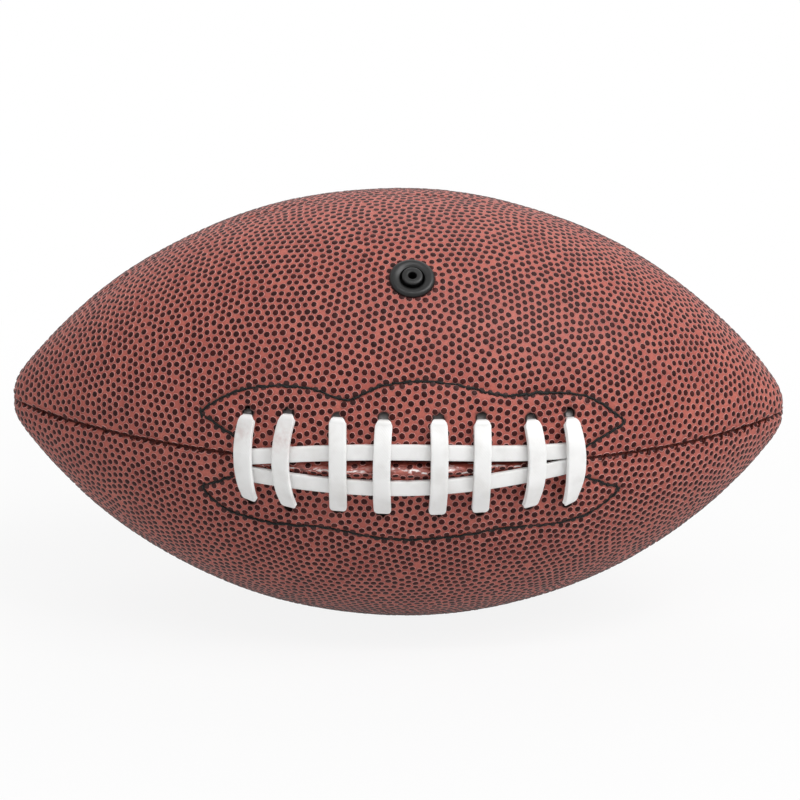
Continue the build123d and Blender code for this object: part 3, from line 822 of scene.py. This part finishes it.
def pebble_tree():
    """Skin in, pebbled skin out."""
    taken = {"Skin": "Geometry", "Pitch": "Float", "Seed": "Int", "Pebble": "Object", "Leather": "Material",
             "RubbedWithPaintedLight": "Material", "Inked": "Material"}
    tree, given = new_tree("pebble_grain", taken, "Cover")
    grain, polish, press = (
        node(tree, "GeometryNodeInputNamedAttribute", {"Name": mark}, data_type="FLOAT")
        for mark in ("grain", "polish", "press"))
    grained, polished = (
        node(tree, "FunctionNodeCompare", {0: mark, 1: limit}, operation="GREATER_THAN")
        for mark, limit in ((grain, GRAIN_LIMIT), (polish, POLISH_LIMIT)))
    ground = node(tree, "GeometryNodeSeparateGeometry", {"Geometry": given["Skin"], "Selection": grained},
                  domain="FACE")
    least = node(tree, "ShaderNodeMath", {0: given["Pitch"], 1: LEAST_SHARE}, operation="MULTIPLY")
    scatter = node(tree, "GeometryNodeDistributePointsOnFaces",
                   {"Mesh": ground, "Distance Min": least, "Density Factor": grain, "Seed": given["Seed"],
                    "Density Max": DENSE_SCATTER}, distribute_method="POISSON").outputs["Points"]
    points = eased(tree, scatter, ground, given["Pitch"])
    normal = node(tree, "GeometryNodeInputNormal")
    upright = node(tree, "GeometryNodeSampleNearestSurface", {"Mesh": ground, "Value": normal},
                   data_type="FLOAT_VECTOR")
    # How near the sewing each pebble stands, for its grey painted sheen.
    sewn = node(tree, "GeometryNodeSampleNearestSurface", {"Mesh": ground, "Value": press}, data_type="FLOAT")
    stand = node(tree, "FunctionNodeAlignRotationToVector", {"Vector": upright}, axis="Z")
    angle, tone = (node(tree, "FunctionNodeRandomValue", {2: 0.0, 3: most, "Seed": seed}).outputs[1]
                   for most, seed in ((2 * math.pi, 1), (1.0, 3)))
    size = node(tree, "FunctionNodeRandomValue", {0: LEAST_SIZE, 1: MOST_SIZE, "Seed": 2},
                data_type="FLOAT_VECTOR")
    placed = copies(tree, points, given["Pebble"], stand, angle, size)
    for name, value in (("shade", tone), ("pressed", sewn)):
        placed = node(tree, "GeometryNodeStoreNamedAttribute",
                      {"Geometry": placed, "Name": name, "Value": value}, domain="INSTANCE")
    solid = node(tree, "GeometryNodeRealizeInstances", {"Geometry": placed})
    inked = node(tree, "GeometryNodeSetMaterial", {"Geometry": solid, "Material": given["Inked"]})
    plain = node(tree, "GeometryNodeSetMaterial", {"Geometry": given["Skin"], "Material": given["Leather"]})
    shiny = node(tree, "GeometryNodeSetMaterial",
                 {"Geometry": plain, "Selection": polished, "Material": given["RubbedWithPaintedLight"]})
    both = node(tree, "GeometryNodeJoinGeometry", {0: inked})
    tree.links.new(shiny.outputs[0], both.inputs[0])
    node(tree, "NodeGroupOutput", {"Cover": both})
    return tree


# %% Grow the pebbles
dome = pebble_dome()
grain_tree = pebble_tree()
for seed, (name, piece) in enumerate(panels.items()):
    plain = len(piece.data.vertices)
    grow(piece, grain_tree, Pitch=PEBBLE_PITCH, Seed=seed, Pebble=dome, **cover_materials)
    print(name, (len(piece.data.vertices) - plain) // len(dome.data.vertices), "pebbles")
    hand_over(piece, "ball", f"panel_{name}")
bpy.data.objects.remove(dome)

# %% [markdown]
# ## Flat cord and round thread
# The lace is a flat cord with soft corners, and the thread is round. Both are one section carried
# along a line, with a width that may change on the way. A curve with a bevel twists on such tight
# bends, so a short sweep function sets the width's direction at every station itself.

# %% Sweep
SECTION_POINTS = 16
FLAT_SECTION = 7.0
ROUND_SECTION = 2.0


def sweep(line, across, width, thickness, squareness=FLAT_SECTION):
    """Rings of a rounded section along a line. across points along the width at each station."""
    line = np.asarray(line, float)
    across = np.broadcast_to(across, line.shape)
    ahead = np.gradient(line, axis=0)
    up = np.cross(ahead, across)
    up /= np.linalg.norm(up, axis=1)[:, None]
    angles = (np.arange(SECTION_POINTS) + 0.5) / SECTION_POINTS * 2 * math.pi
    wide = np.sign(np.cos(angles)) * np.abs(np.cos(angles)) ** (2 / squareness)
    tall = np.sign(np.sin(angles)) * np.abs(np.sin(angles)) ** (2 / squareness)
    width = np.broadcast_to(width, len(line))[:, None, None]
    offset = across[:, None] * wide[:, None] * width / 2 + up[:, None] * tall[:, None] * thickness / 2
    return line[:, None] + offset


def rounded(points, rounds=3):
    """Cuts the corners of a line again and again, which leaves it smooth."""
    points = np.asarray(points, float)
    for _ in range(rounds):
        first = points[:-1] * 0.75 + points[1:] * 0.25
        second = points[:-1] * 0.25 + points[1:] * 0.75
        inner = np.stack([first, second], 1).reshape(-1, points.shape[1])
        points = np.vstack([points[:1], inner, points[-1:]])
    return points


def swept_piece(name, sweeps):
    """One object from several sweeps, each closed at its ends."""
    points = []
    faces = []
    for rings in sweeps:
        faces += tube_faces(*rings.shape[:2], first=sum(map(len, points)))
        points.append(rings.reshape(-1, 3))
    return new_piece(name, np.vstack(points), faces)


# %% [markdown]
# ## Lace
# The lace is one flat vinyl cord. Two strands lie along the slit, bowed apart, and dive into a
# hole at each end. Eight bars lie over them, narrow in a round shoulder and go down their own
# holes, and the outer bars bow and lean towards the tips. Inside the cover, slanting runs lead
# from each bar to the next. Each stretch is a line of a few points, given as lengths of arc from
# the seam and heights over the skin, with its corners cut and the cord's section swept along it.

# %% Lace sizes
LACE_THICKNESS = 1.35 * MM
LACE_LIFT = 0.15 * MM
LACE_SELF_GAP = 0.1 * MM
LACE_SEAT = LACE_LIFT + LACE_THICKNESS / 2
LEG_WIDTH = 2.7 * MM
LEG_PINCH = 0.6 * MM
LEG_TWIST = 1.6 * MM
LEG_DROP = 0.9 * MM
LEG_DEPTHS = (2.0 * MM, 2.4 * MM)  # where a leg starts and stops to drift
LINK_DEPTH = 3.6 * MM
LINK_STEPS = 12
FOLD = 1.3 * MM
BAR_CROWN = 0.3 * MM
BAR_CROWN_SHARE = 0.4
BAR_CLEARS = (0.3 * MM, 0.15 * MM)  # past a strand's edge, and above its top
BAR_TAPERS = (0.7 * MM, 1.1 * MM)
LACE_CORNER = math.radians(30)
LEAN_SHARES = (-0.85, -0.2, 0.2, 0.85)
MIDDLE_LEAN = 0.25
STRAND_FLAT = 40.0 * MM
STRAND_STEP = 1.0 * MM
STRAND_NARROWS = (40.0 * MM, 41.2 * MM)
STRAND_END_WIDTH = 1.7 * MM
STRAND_DIVE = (0.3 * MM, -0.8 * MM)  # past the end hole's middle, and height there
STRAND_END_APART = {"upper": 0.95 * MM, "lower": -0.95 * MM}


# %% Lace lines
def shoulder(length, reach, narrow, wide):
    """Width that grows from narrow to wide over a reach, along a round shoulder."""
    short = np.clip(1 - length / reach, 0, 1)
    return narrow + (wide - narrow) * np.sqrt(1 - short**2)


def bar_rings(bar):
    """A bar that lies over both strands, folds at a hole on each side and goes down it."""
    rest = LACE_SEAT + LACE_THICKNESS + LACE_SELF_GAP
    halves = []
    for name, leg, drift in zip(("lower", "upper"), bar.legs, bar.drifts):
        edge = abs(strand_offset(name, bar.walk)) + STRAND_WIDTH / 2
        halves.append((
            (edge * BAR_CROWN_SHARE, rest + BAR_CROWN), (edge + BAR_CLEARS[0], rest + BAR_CLEARS[1]),
            (leg - FOLD, LACE_SEAT), (leg, LACE_SEAT), (leg, LACE_SEAT - LEG_DROP), (leg, -LEG_DEPTHS[0]),
            (leg + drift, -LEG_DEPTHS[1]), (leg + drift, -LINK_DEPTH)))
    lower, upper = np.array(halves)
    arcs, heights = rounded(np.vstack([lower[::-1] * (-1, 1), upper])).T
    share = np.clip(np.where(arcs < 0, arcs / bar.legs[0], arcs / bar.legs[1]), -1, 1)
    ends = (bar.leans[0], MIDDLE_LEAN * bar.leans[0], MIDDLE_LEAN * bar.leans[1], bar.leans[1])
    tilt = np.interp(share, LEAN_SHARES, ends)
    tilt *= np.clip((heights + LEG_TWIST) / (LACE_SEAT + LEG_TWIST), 0, 1)
    low_leg, high_leg = LEG_WIDTH - LEG_PINCH * np.abs(bar.leans)
    width = np.minimum(shoulder(arcs + bar.legs[0], BAR_TAPERS[0], low_leg, bar.width),
                       shoulder(bar.legs[1] - arcs, BAR_TAPERS[1], high_leg, bar.width))
    sway = np.interp(share, (-1, 1), bar.shifts) + bar.bow * (1 - share**2)
    line = bar.point(arcs, heights + width / 2 * np.abs(np.sin(tilt)), sway)
    across = np.cos(tilt)[:, None] * bar.along + np.sin(tilt)[:, None] * bar.outward(arcs)
    return sweep(line, across, width, LACE_THICKNESS)


def strand_rings(name):
    """A strand along the slit, drawn narrow where it dives under the end bars."""
    walks = spaced(-STRAND_FLAT, STRAND_FLAT, STRAND_STEP)
    ends = []
    for sign, offset in zip((-1, 1), END_HOLE_OFFSETS):
        side = offset + STRAND_END_APART[name]
        deep = END_HOLE_WALK + STRAND_DIVE[0]
        ends.append([(sign * END_HOLE_WALK, side, LACE_SEAT), (sign * deep, side, STRAND_DIVE[1]),
                     (sign * deep, side, -LINK_DEPTH)])
    flat = np.stack([walks, strand_offset(name, walks), np.full(len(walks), LACE_SEAT)], 1)
    walk, offset, height = rounded(np.vstack([ends[0][::-1], flat, ends[1]]), 2).T
    turn = offset / meridian(walk)[1]
    across = np.stack([0 * turn, np.sin(turn), np.cos(turn)], 1)
    width = np.interp(np.abs(walk), STRAND_NARROWS, (STRAND_WIDTH, STRAND_END_WIDTH))
    return sweep(skin(walk, turn, height), across, width, LACE_THICKNESS)


def link_rings(start, stop):
    """A run inside the cover from one leg's end to another's."""
    share = np.linspace(0, 1, LINK_STEPS)[:, None]
    chord = start * (1 - share) + stop * share
    walk = SIDE_RADIUS * np.arcsin(chord[:, 0] / SIDE_RADIUS)
    turn = np.arctan2(chord[:, 2], -chord[:, 1])
    line = skin(walk, turn, -LINK_DEPTH)
    across = np.cross(np.gradient(line, axis=0), skin_normal(walk, turn))
    across /= np.linalg.norm(across, axis=1)[:, None]
    return sweep(line, across, LEG_WIDTH, LACE_THICKNESS)


lace_sweeps = [bar_rings(bar) for bar in bars]
lace_sweeps += [strand_rings(name) for name in ("upper", "lower")]
stops = [end_holes[0][0]]
for bar in bars:
    for end, side in ((1, 1), (0, -1)):
        stops.append(bar.point(side * (bar.legs[end] + bar.drifts[end]), 0.0, bar.shifts[end]))
stops.append(end_holes[1][0])
lace_sweeps += [link_rings(start, stop) for start, stop in zip(stops[0::2], stops[1::2])]
lace = swept_piece("lace_cord", lace_sweeps)
lace.data.set_sharp_from_angle(angle=LACE_CORNER)
print(lace.name, "of", len(lace_sweeps), "stretches")

# %% Lace marks
# Bar, arc from the seam, and reach of each place that was handled.
HANDLED = ((0, 6.0 * MM, 2.4 * MM), (1, 5.6 * MM, 3.2 * MM), (2, -0.5 * MM, 1.2 * MM))
PAINTED_SHADE_DEPTHS = (0.3 * MM, 0.8 * MM)
spots = np.array([vertex.co for vertex in lace.data.vertices])
handled = np.zeros(len(spots))
for which, arc, reach in HANDLED:
    far = np.linalg.norm(spots - bars[which].point(arc, LACE_SEAT, bars[which].bow), axis=1)
    handled = np.maximum(handled, np.exp(-((far / reach) ** 2)))
slope = np.sqrt(1 - (spots[:, 0] / SIDE_RADIUS) ** 2)
depth = (SIDE_CENTRE + SIDE_RADIUS * slope - np.hypot(spots[:, 1], spots[:, 2])) * slope
store(lace, "handled", handled)
# Lace below the cover's surface, down in the holes, gets a grey painted shade.
store(lace, "sunk", np.interp(depth, PAINTED_SHADE_DEPTHS, (0, 1)))
print(f"{np.mean(depth > PAINTED_SHADE_DEPTHS[1]):.0%} of the lace's points lie inside the cover")

# %% Lace material
LACE_RIB = 0.5 * MM
LACE_SLANT = math.radians(40)
LACE_SMUDGE = 5 * MM
LACE_STAIN = 1.4 * MM


def vinyl_lace():
    """Extruded white vinyl: smooth, faintly ribbed, pink where it was handled, with grey painted shade in the
    holes.
    """
    material, tree, shader, place = new_material("vinyl_extruded_white", 0.42)
    handled, sunk = (node(tree, "ShaderNodeAttribute", attribute_name=mark).outputs["Fac"]
                     for mark in ("handled", "sunk"))
    smudges, stains = (node(tree, "ShaderNodeTexNoise", {"Vector": place, "Scale": 1 / size, "Detail": 5})
                       for size in (LACE_SMUDGE, LACE_STAIN))
    smudged = node(tree, "ShaderNodeMapRange", {"Value": smudges, 1: 0.45, 2: 0.75})
    stained = node(tree, "ShaderNodeMapRange", {"Value": stains, 1: 0.3, 2: 0.65, 4: handled})
    # The last layer is the grey painted shade on lace inside the holes.
    colour = layered(tree, "#EFEFEE", ((smudged, "#E2E1DF"), (stained, "#C9B1AE"), (sunk, "#8A8584")))
    slant = node(tree, "ShaderNodeMapping", {"Vector": place, "Rotation": (0, LACE_SLANT, 0)})
    waves = {"Vector": slant, "Scale": wave_scale(LACE_RIB), "Distortion": 1.5, "Detail": 2}
    ribs = node(tree, "ShaderNodeTexWave", waves).outputs["Fac"]
    dress(tree, shader, colour, ribs, 0.2, 0.05 * MM)
    return material


lace.data.materials.append(vinyl_lace())
hand_over(lace, "ball", "lace")

# %% [markdown]
# ## Seam thread
# The panels are sewn inside out, so a tight seam shows only a fine groove, with its thread deep in
# it. The lace seam is closed last, so its thread lies higher, with a loop at each stitch. A geometry
# tree follows the seam line: it makes the thread from the curve and sets one loop at every stitch,
# upright on the skin, each with its own size and a small swing.

# %% Stitch tree
PATH_STEP = 1.0 * MM
THREAD_SIDES = 6
STITCH_SWING = 1.2


def path_piece(name, walk, turn, height):
    """A bare line over the skin, whose points know the way out."""
    mesh = bpy.data.meshes.new(name)
    edges = [(place, place + 1) for place in range(len(walk) - 1)]
    mesh.from_pydata(skin(walk, turn, height).tolist(), edges, [])
    attribute = mesh.attributes.new("outward", "FLOAT_VECTOR", "POINT")
    attribute.data.foreach_set("vector", skin_normal(walk, turn).astype(np.float32).ravel())
    return add_object(name, mesh)


def stitch_tree():
    """Stitches set along a line, and a thread under them."""
    taken = {"Line": "Geometry", "Pitch": "Float", "Thread": "Float", "Unevenness": "Float", "Seed": "Int",
             "Stitch": "Object", "Yarn": "Material"}
    tree, given = new_tree("stitches_on_a_line", taken, "Sewing")
    curve = node(tree, "GeometryNodeMeshToCurve", {"Mesh": given["Line"]})
    radius = node(tree, "ShaderNodeMath", {0: given["Thread"], 1: 0.5}, operation="MULTIPLY")
    ring = node(tree, "GeometryNodeCurvePrimitiveCircle", {"Resolution": THREAD_SIDES, "Radius": radius})
    thread = node(tree, "GeometryNodeCurveToMesh", {"Curve": curve, "Profile Curve": ring, "Fill Caps": True})
    paced = {"Curve": curve, "Length": given["Pitch"]}
    spots = node(tree, "GeometryNodeResampleCurve", paced, mode="LENGTH")
    tangent = node(tree, "GeometryNodeInputTangent")
    upright = node(tree, "GeometryNodeInputNamedAttribute", {"Name": "outward"}, data_type="FLOAT_VECTOR")
    stand = node(tree, "FunctionNodeAxesToRotation", {"Primary Axis": upright, "Secondary Axis": tangent},
                 primary_axis="Z", secondary_axis="X")
    low, high = (node(tree, "ShaderNodeMath", {0: 1.0, 1: given["Unevenness"]}, operation=way)
                 for way in ("SUBTRACT", "ADD"))
    size = node(tree, "FunctionNodeRandomValue", {0: low, 1: high, "Seed": given["Seed"]},
                data_type="FLOAT_VECTOR")
    chance = node(tree, "FunctionNodeRandomValue", {2: -STITCH_SWING, 3: STITCH_SWING, "Seed": 5}).outputs[1]
    angle = node(tree, "ShaderNodeMath", {0: chance, 1: given["Unevenness"]}, operation="MULTIPLY")
    placed = copies(tree, spots, given["Stitch"], stand, angle, size)
    both = node(tree, "GeometryNodeJoinGeometry", {0: placed})
    tree.links.new(thread.outputs[0], both.inputs[0])
    solid = node(tree, "GeometryNodeRealizeInstances", {"Geometry": both})
    smooth = node(tree, "GeometryNodeSetShadeSmooth", {"Geometry": solid})
    yarn = node(tree, "GeometryNodeSetMaterial", {"Geometry": smooth, "Material": given["Yarn"]})
    node(tree, "NodeGroupOutput", {"Sewing": yarn})
    return tree


# %% Thread material
YARN_TWIST = 0.35 * MM


def sewing_thread(name, dark, pale, roughness):
    """Twisted bonded thread: fine slanting plies that catch the light, in two close tones."""
    material, tree, shader, place = new_material(name, roughness, 0.12)
    waves = {"Vector": place, "Scale": wave_scale(YARN_TWIST), "Distortion": 2, "Detail": 2}
    plies = node(tree, "ShaderNodeTexWave", waves, bands_direction="DIAGONAL").outputs["Fac"]
    dress(tree, shader, layered(tree, dark, ((plies, pale),)), plies, 0.4, 0.05 * MM)
    return material


# %% Sew the seams
THREAD_DIAMETER = 0.6 * MM
LACE_SEAM_DEPTH = 0.75 * MM
TIGHT_SEAM_DEPTH = 1.3 * MM
THREAD_WALK = 107 * MM
LOOP_DIAMETER = 0.5 * MM
LOOP_LINE = np.array(((0.7, 0.45, 0.25), (0.5, 0.35, 0.6), (0.2, 0, 0.42), (-0.1, -0.35, 0.66),
                      (-0.4, -0.65, 0.76), (-0.6, -0.85, 0.5))) * MM
LOOP_UNEVENNESS = 0.3
lacing_end = END_HOLE_WALK + HOLE_RADIUS + PATH_STEP
SEAMS = {
    "seam_thread_top": (math.pi / 2, -THREAD_WALK, THREAD_WALK, TIGHT_SEAM_DEPTH),
    "seam_thread_bottom": (-math.pi / 2, -THREAD_WALK, THREAD_WALK, TIGHT_SEAM_DEPTH),
    "seam_thread_back": (math.pi, -THREAD_WALK, THREAD_WALK, TIGHT_SEAM_DEPTH),
    "seam_thread_lace_left": (0, -THREAD_WALK, -lacing_end, LACE_SEAM_DEPTH),
    "seam_thread_lace_right": (0, lacing_end, THREAD_WALK, LACE_SEAM_DEPTH),
}
loop_sweep = sweep(rounded(LOOP_LINE, 1), (1, 0, 0), LOOP_DIAMETER, LOOP_DIAMETER, ROUND_SECTION)
loop = swept_piece("seam_loop", [loop_sweep])
sewing = stitch_tree()
seam_yarn = sewing_thread("polyester_thread_oxblood", "#2A0E0B", "#55241D", 0.6)
for seed, (name, (turn, begin, stop, deep)) in enumerate(SEAMS.items()):
    walk = spaced(begin, stop, PATH_STEP)
    piece = path_piece(f"{name}_sewn", walk, turn, -deep)
    grow(piece, sewing, Pitch=SEAM_STITCH_PITCH, Thread=THREAD_DIAMETER, Unevenness=LOOP_UNEVENNESS,
         Seed=seed, Stitch=loop, Yarn=seam_yarn)
    hand_over(piece, "ball", name)
bpy.data.objects.remove(loop)

# %% [markdown]
# ## Facing stitches
# The facings are sewn through the finished cover with a heavy black thread, so these stitches lie
# on top, in the furrow that they pull. The same tree serves, with a short flat stitch and
# a thin thread in the furrow under it. The stitches are uneven, because the needle goes down between
# the pebbles wherever it can.

# %% Sew the facings
FACING_PITCH = 2.6 * MM
FACING_STITCH = 2.5 * MM
FACING_THREAD = 0.62 * MM
FURROW_THREAD = 0.4 * MM
FACING_DEPTH = 0.25 * MM
FACING_UNEVENNESS = 0.24
STITCH_SHAPE = np.array(((-0.5, -0.25), (-0.36, 0.06), (0, 0.14), (0.36, 0.06), (0.5, -0.25)))
stitch_run, stitch_rise = STITCH_SHAPE.T
stitch_line = np.stack([stitch_run * FACING_STITCH, 0 * stitch_run, stitch_rise * MM], 1)
stitch_sweep = sweep(rounded(stitch_line, 1), (0, 1, 0), FACING_THREAD, FACING_THREAD, ROUND_SECTION)
stitch = swept_piece("facing_stitch", [stitch_sweep])
facing_yarn = sewing_thread("nylon_thread_black_waxed", "#0B0B0B", "#2A2C2B", 0.4)
for seed, (half, line) in enumerate(facing_lines.items()):
    piece = path_piece(f"facing_stitches_{half}_sewn", *line, -FACING_DEPTH)
    grow(piece, sewing, Pitch=FACING_PITCH, Thread=FURROW_THREAD, Unevenness=FACING_UNEVENNESS,
         Seed=seed, Stitch=stitch, Yarn=facing_yarn)
    hand_over(piece, "ball", f"facing_stitches_{half}")
bpy.data.objects.remove(stitch)

# %% [markdown]
# ## Valve
# The valve is two rubber mouldings: a collar with a round rim, a cup and a stem, and a plug
# with the needle's hole that pulls straight out. Both are turned shapes, so each is an outline of
# corners and arcs, spun about the valve's axis. The plug rides on its own body and slides when the
# joint moves.

# %% Turn the valve
LATHE_STEPS = 56


def ellipse_arc(middle, half_width, half_height, start, stop, steps):
    """Points of an outline along an arc of an ellipse, between two angles in degrees."""
    angles = np.radians(np.linspace(start, stop, steps + 1))
    return [(middle[0] + half_width * math.cos(a), middle[1] + half_height * math.sin(a)) for a in angles]


# Distance from the valve's axis and height over the cover, in mm.
COLLAR_OUTLINE = (
    (2.66, -10), (4.2, -10), (4.2, -4.9), (9.3, -5.3), (9.3, -4.4), (5.65, -3.7),
    *ellipse_arc((4.65, 0), 1.0, 0.92, 0, 90, 5),
    *ellipse_arc((4.65, -1.95), 2.87, 2.87, 97, 119.4, 3),
    *ellipse_arc((3.33, 0.2), 0.3, 0.4, 135, 180, 2), (2.98, -0.8), (2.74, -1.0), (2.66, -1.2),
)
PLUG_OUTLINE = (
    (2.3, -11.3), (2.6, -11.0), *ellipse_arc((2.2, 1.0), 0.4, 0.42, 0, 90, 3),
    *ellipse_arc((1.3, 1.0), 0.3, 0.54, 90, 180, 4), (1.0, -7.3),
)


def lathe(name, outline, closed):
    """Spins an outline about the valve's axis, and caps its two ends if it isn't closed."""
    turn = np.array(Vector(valve_way).to_track_quat("Z", "X").to_matrix())
    angles = np.arange(LATHE_STEPS) / LATHE_STEPS * 2 * math.pi
    rings = [[(r * math.cos(a), r * math.sin(a), height) for a in angles] for r, height in outline]
    points = valve_middle + np.array(rings) * MM @ turn.T
    return new_piece(name, points, tube_faces(len(outline), LATHE_STEPS, closed=closed))


# %% Valve rubber
RUBBER_BLOOM = 1.6 * MM
RUBBER_GRAIN = 0.16 * MM


def moulded(name, dark, pale):
    """Moulded rubber or vinyl: dark, with a paler bloom in patches and a fine tooth from the mould."""
    material, tree, shader, place = new_material(name, 0.36, 0.36)
    bloom, tooth = (node(tree, "ShaderNodeTexNoise", {"Vector": place, "Scale": 1 / size, "Detail": detail})
                    for size, detail in ((RUBBER_BLOOM, 4), (RUBBER_GRAIN, 2)))
    share = node(tree, "ShaderNodeMapRange", {"Value": bloom, 1: 0.35, 2: 0.7})
    dress(tree, shader, layered(tree, dark, ((share, pale),)), tooth, 0.15, 0.04 * MM)
    return material


valve_rubber = moulded("rubber_moulded_valve", "#0B0B0B", "#181818")
collar = lathe("valve_collar_moulded", COLLAR_OUTLINE, True)
plug = lathe("valve_plug_moulded", PLUG_OUTLINE, False)
for piece, body, cad_node in ((collar, "ball", "valve_collar"), (plug, "valve_plug", "valve_plug")):
    piece.data.set_sharp_from_angle(angle=SHARP_EDGE)
    piece.data.materials.append(valve_rubber)
    hand_over(piece, body, cad_node)

# %% [markdown]
# ## Layers inside the cover
# The linings, the facings, the tongue and the bladder lie inside and show only as a glimpse down a
# hole. Their CAD shapes are right as they are, so they stay and get a finish: woven cotton, vinyl
# sheet, felt and butyl rubber. A weave is two crossed waves at the spacing of the yarns, and the felt
# has the print of such a cloth from its press.

# %% Inner finishes
YARN_SPACING = 0.8 * MM


def woven(name, dark, pale):
    """Cloth: two crossed sets of yarns, dull, with dark gaps between them."""
    material, tree, shader, place = new_material(name, 0.9)
    waves = {"Vector": place, "Scale": wave_scale(YARN_SPACING)}
    warp, weft = (node(tree, "ShaderNodeTexWave", waves, bands_direction=way).outputs["Fac"] for way in "XZ")
    weave = node(tree, "ShaderNodeMath", {0: warp, 1: weft}, operation="MULTIPLY")
    dress(tree, shader, layered(tree, dark, ((weave, pale),)), weave, 0.5, 0.15 * MM)
    return material


cotton = woven("cotton_lining_woven", "#6E6658", "#B4AB98")
vinyl_sheet = moulded("vinyl_facing_sheet", "#2A1714", "#43261F")
inner_finishes = {f"lining_{name}": cotton for name in PANELS}
inner_finishes.update({f"facing_{half}": vinyl_sheet for half in FACING_PLANS})
inner_finishes["lace_tongue"] = woven("felt_tongue_pressed", "#2B1B18", "#4A302A")
inner_finishes["bladder"] = moulded("butyl_bladder_rubber", "#191919", "#2C2A29")
for name, material in inner_finishes.items():
    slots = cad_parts[name].data.materials
    slots.clear()
    slots.append(material)
print(len(inner_finishes), "inner pieces finished")

# %% [markdown]
# ## Floor, light and camera
# The ball lies on a white table in a bright tent. The floor is white to the camera and still takes
# a soft shadow: under the ball part of what shows is matte paint, and further out it is all glow.
# The tent is a grey world with a lamp above and to the right, a strip lamp overhead that draws the
# glints, one behind that gives the top its sheen, and a weak one low on the left. Together they
# give a plain level, at which colours render about as they are written.

# %% Floor and world
FLOOR_SIZE = 6.0
FLOOR_GLOW = 0.88
SHADOW_REACH = (0.13, 0.3)
FLOOR_DROP = 0.2 * MM
TENT_LEVEL = 0.5


def seen_directly(tree):
    """1 for rays from the camera and for mirror and glass rays, 0 for light off matte things."""
    path = node(tree, "ShaderNodeLightPath").outputs
    seen = path["Is Camera Ray"]
    for other in ("Is Glossy Ray", "Is Transmission Ray"):
        seen = node(tree, "ShaderNodeMath", {0: seen, 1: path[other]}, operation="MAXIMUM")
    return seen


floor_z = cad_low.z - FLOOR_DROP
corners = [(x * FLOOR_SIZE, y * FLOOR_SIZE, floor_z) for x, y in ((-1, -1), (1, -1), (1, 1), (-1, 1))]
floor_mesh = bpy.data.meshes.new("floor")
floor_mesh.from_pydata(corners, [], [(0, 1, 2, 3)])
add_object("floor", floor_mesh)
table = bpy.data.materials.new("painted_table_white")
table.use_nodes = True
tree = table.node_tree
tree.nodes.clear()
place = node(tree, "ShaderNodeTexCoord").outputs["Object"]
far = node(tree, "ShaderNodeVectorMath", {0: place}, operation="LENGTH").outputs["Value"]
reach = {"Value": far, 1: SHADOW_REACH[0], 2: SHADOW_REACH[1], 3: FLOOR_GLOW}
share = node(tree, "ShaderNodeMapRange", reach, interpolation_type="SMOOTHSTEP")
glow = node(tree, "ShaderNodeMath", {0: seen_directly(tree), 1: share}, operation="MULTIPLY")
matte = node(tree, "ShaderNodeBsdfDiffuse", {"Color": linear("#DCDCDC")})
shine = node(tree, "ShaderNodeEmission", {"Color": (1, 1, 1, 1), "Strength": 1.0})
surface = node(tree, "ShaderNodeMixShader", {0: glow, 1: matte, 2: shine})
node(tree, "ShaderNodeOutputMaterial", {"Surface": surface})
floor_mesh.materials.append(table)

world = bpy.data.worlds.new("light_tent")
bpy.context.scene.world = world
world.use_nodes = True
tree = world.node_tree
tree.nodes.clear()
bright = node(tree, "ShaderNodeMapRange", {"Value": seen_directly(tree), 3: TENT_LEVEL, 4: 1.0})
sky = node(tree, "ShaderNodeBackground", {"Color": (1, 1, 1, 1), "Strength": bright})
node(tree, "ShaderNodeOutputWorld", {"Surface": sky})

# %% Lamps
# Place, width, depth and watts of each lamp.
LAMPS = {
    "lamp_above_right": ((0.6, -0.4, 0.85), 0.6, 0.6, 7.0),
    "lamp_strip_above": ((0.05, -0.5, 0.9), 0.9, 0.07, 2.5),
    "lamp_behind_above": ((0.15, 0.7, 0.9), 1.0, 0.5, 2.8),
    "lamp_front_left": ((-0.7, -0.9, 0.25), 0.7, 0.7, 0.3),
}
for name, (place, width, depth, watts) in LAMPS.items():
    light = bpy.data.lights.new(name, "AREA")
    light.shape = "RECTANGLE"
    light.size = width
    light.size_y = depth
    light.energy = watts
    lamp = add_object(name, light)
    lamp.location = place
    lamp.rotation_euler = Vector(place).to_track_quat("Z", "Y").to_euler()
    print(name, watts, "W")

# %% Camera
IMAGE_SIDE = 800
FOCAL_PIXELS = 3462.5
CAMERA_DISTANCE = 0.9
CAMERA_AZIMUTH = math.radians(-3.18)
CAMERA_ELEVATION = math.radians(16.64)
CAMERA_ROLL = math.radians(1.765)
CAMERA_SHIFT_PIXELS = (-0.34, 1.6)
pixel = CAMERA_DISTANCE / FOCAL_PIXELS
camera_data = bpy.data.cameras.new("camera")
camera_data.lens = FOCAL_PIXELS / IMAGE_SIDE * camera_data.sensor_width
camera = add_object("camera", camera_data)
sideways, upwards = (shift * pixel for shift in CAMERA_SHIFT_PIXELS)
turns = ((CAMERA_AZIMUTH, "Z"), (math.pi / 2 - CAMERA_ELEVATION, "X"), (CAMERA_ROLL, "Z"))
aim = Matrix()
for angle, axis in turns:
    aim = aim @ Matrix.Rotation(angle, 4, axis)
camera.matrix_world = aim @ Matrix.Translation((sideways, upwards, CAMERA_DISTANCE))
bpy.context.scene.camera = camera
bpy.context.scene.view_settings.view_transform = "Standard"
print(f"camera {CAMERA_DISTANCE} m away with a lens of {camera_data.lens:.0f} mm")
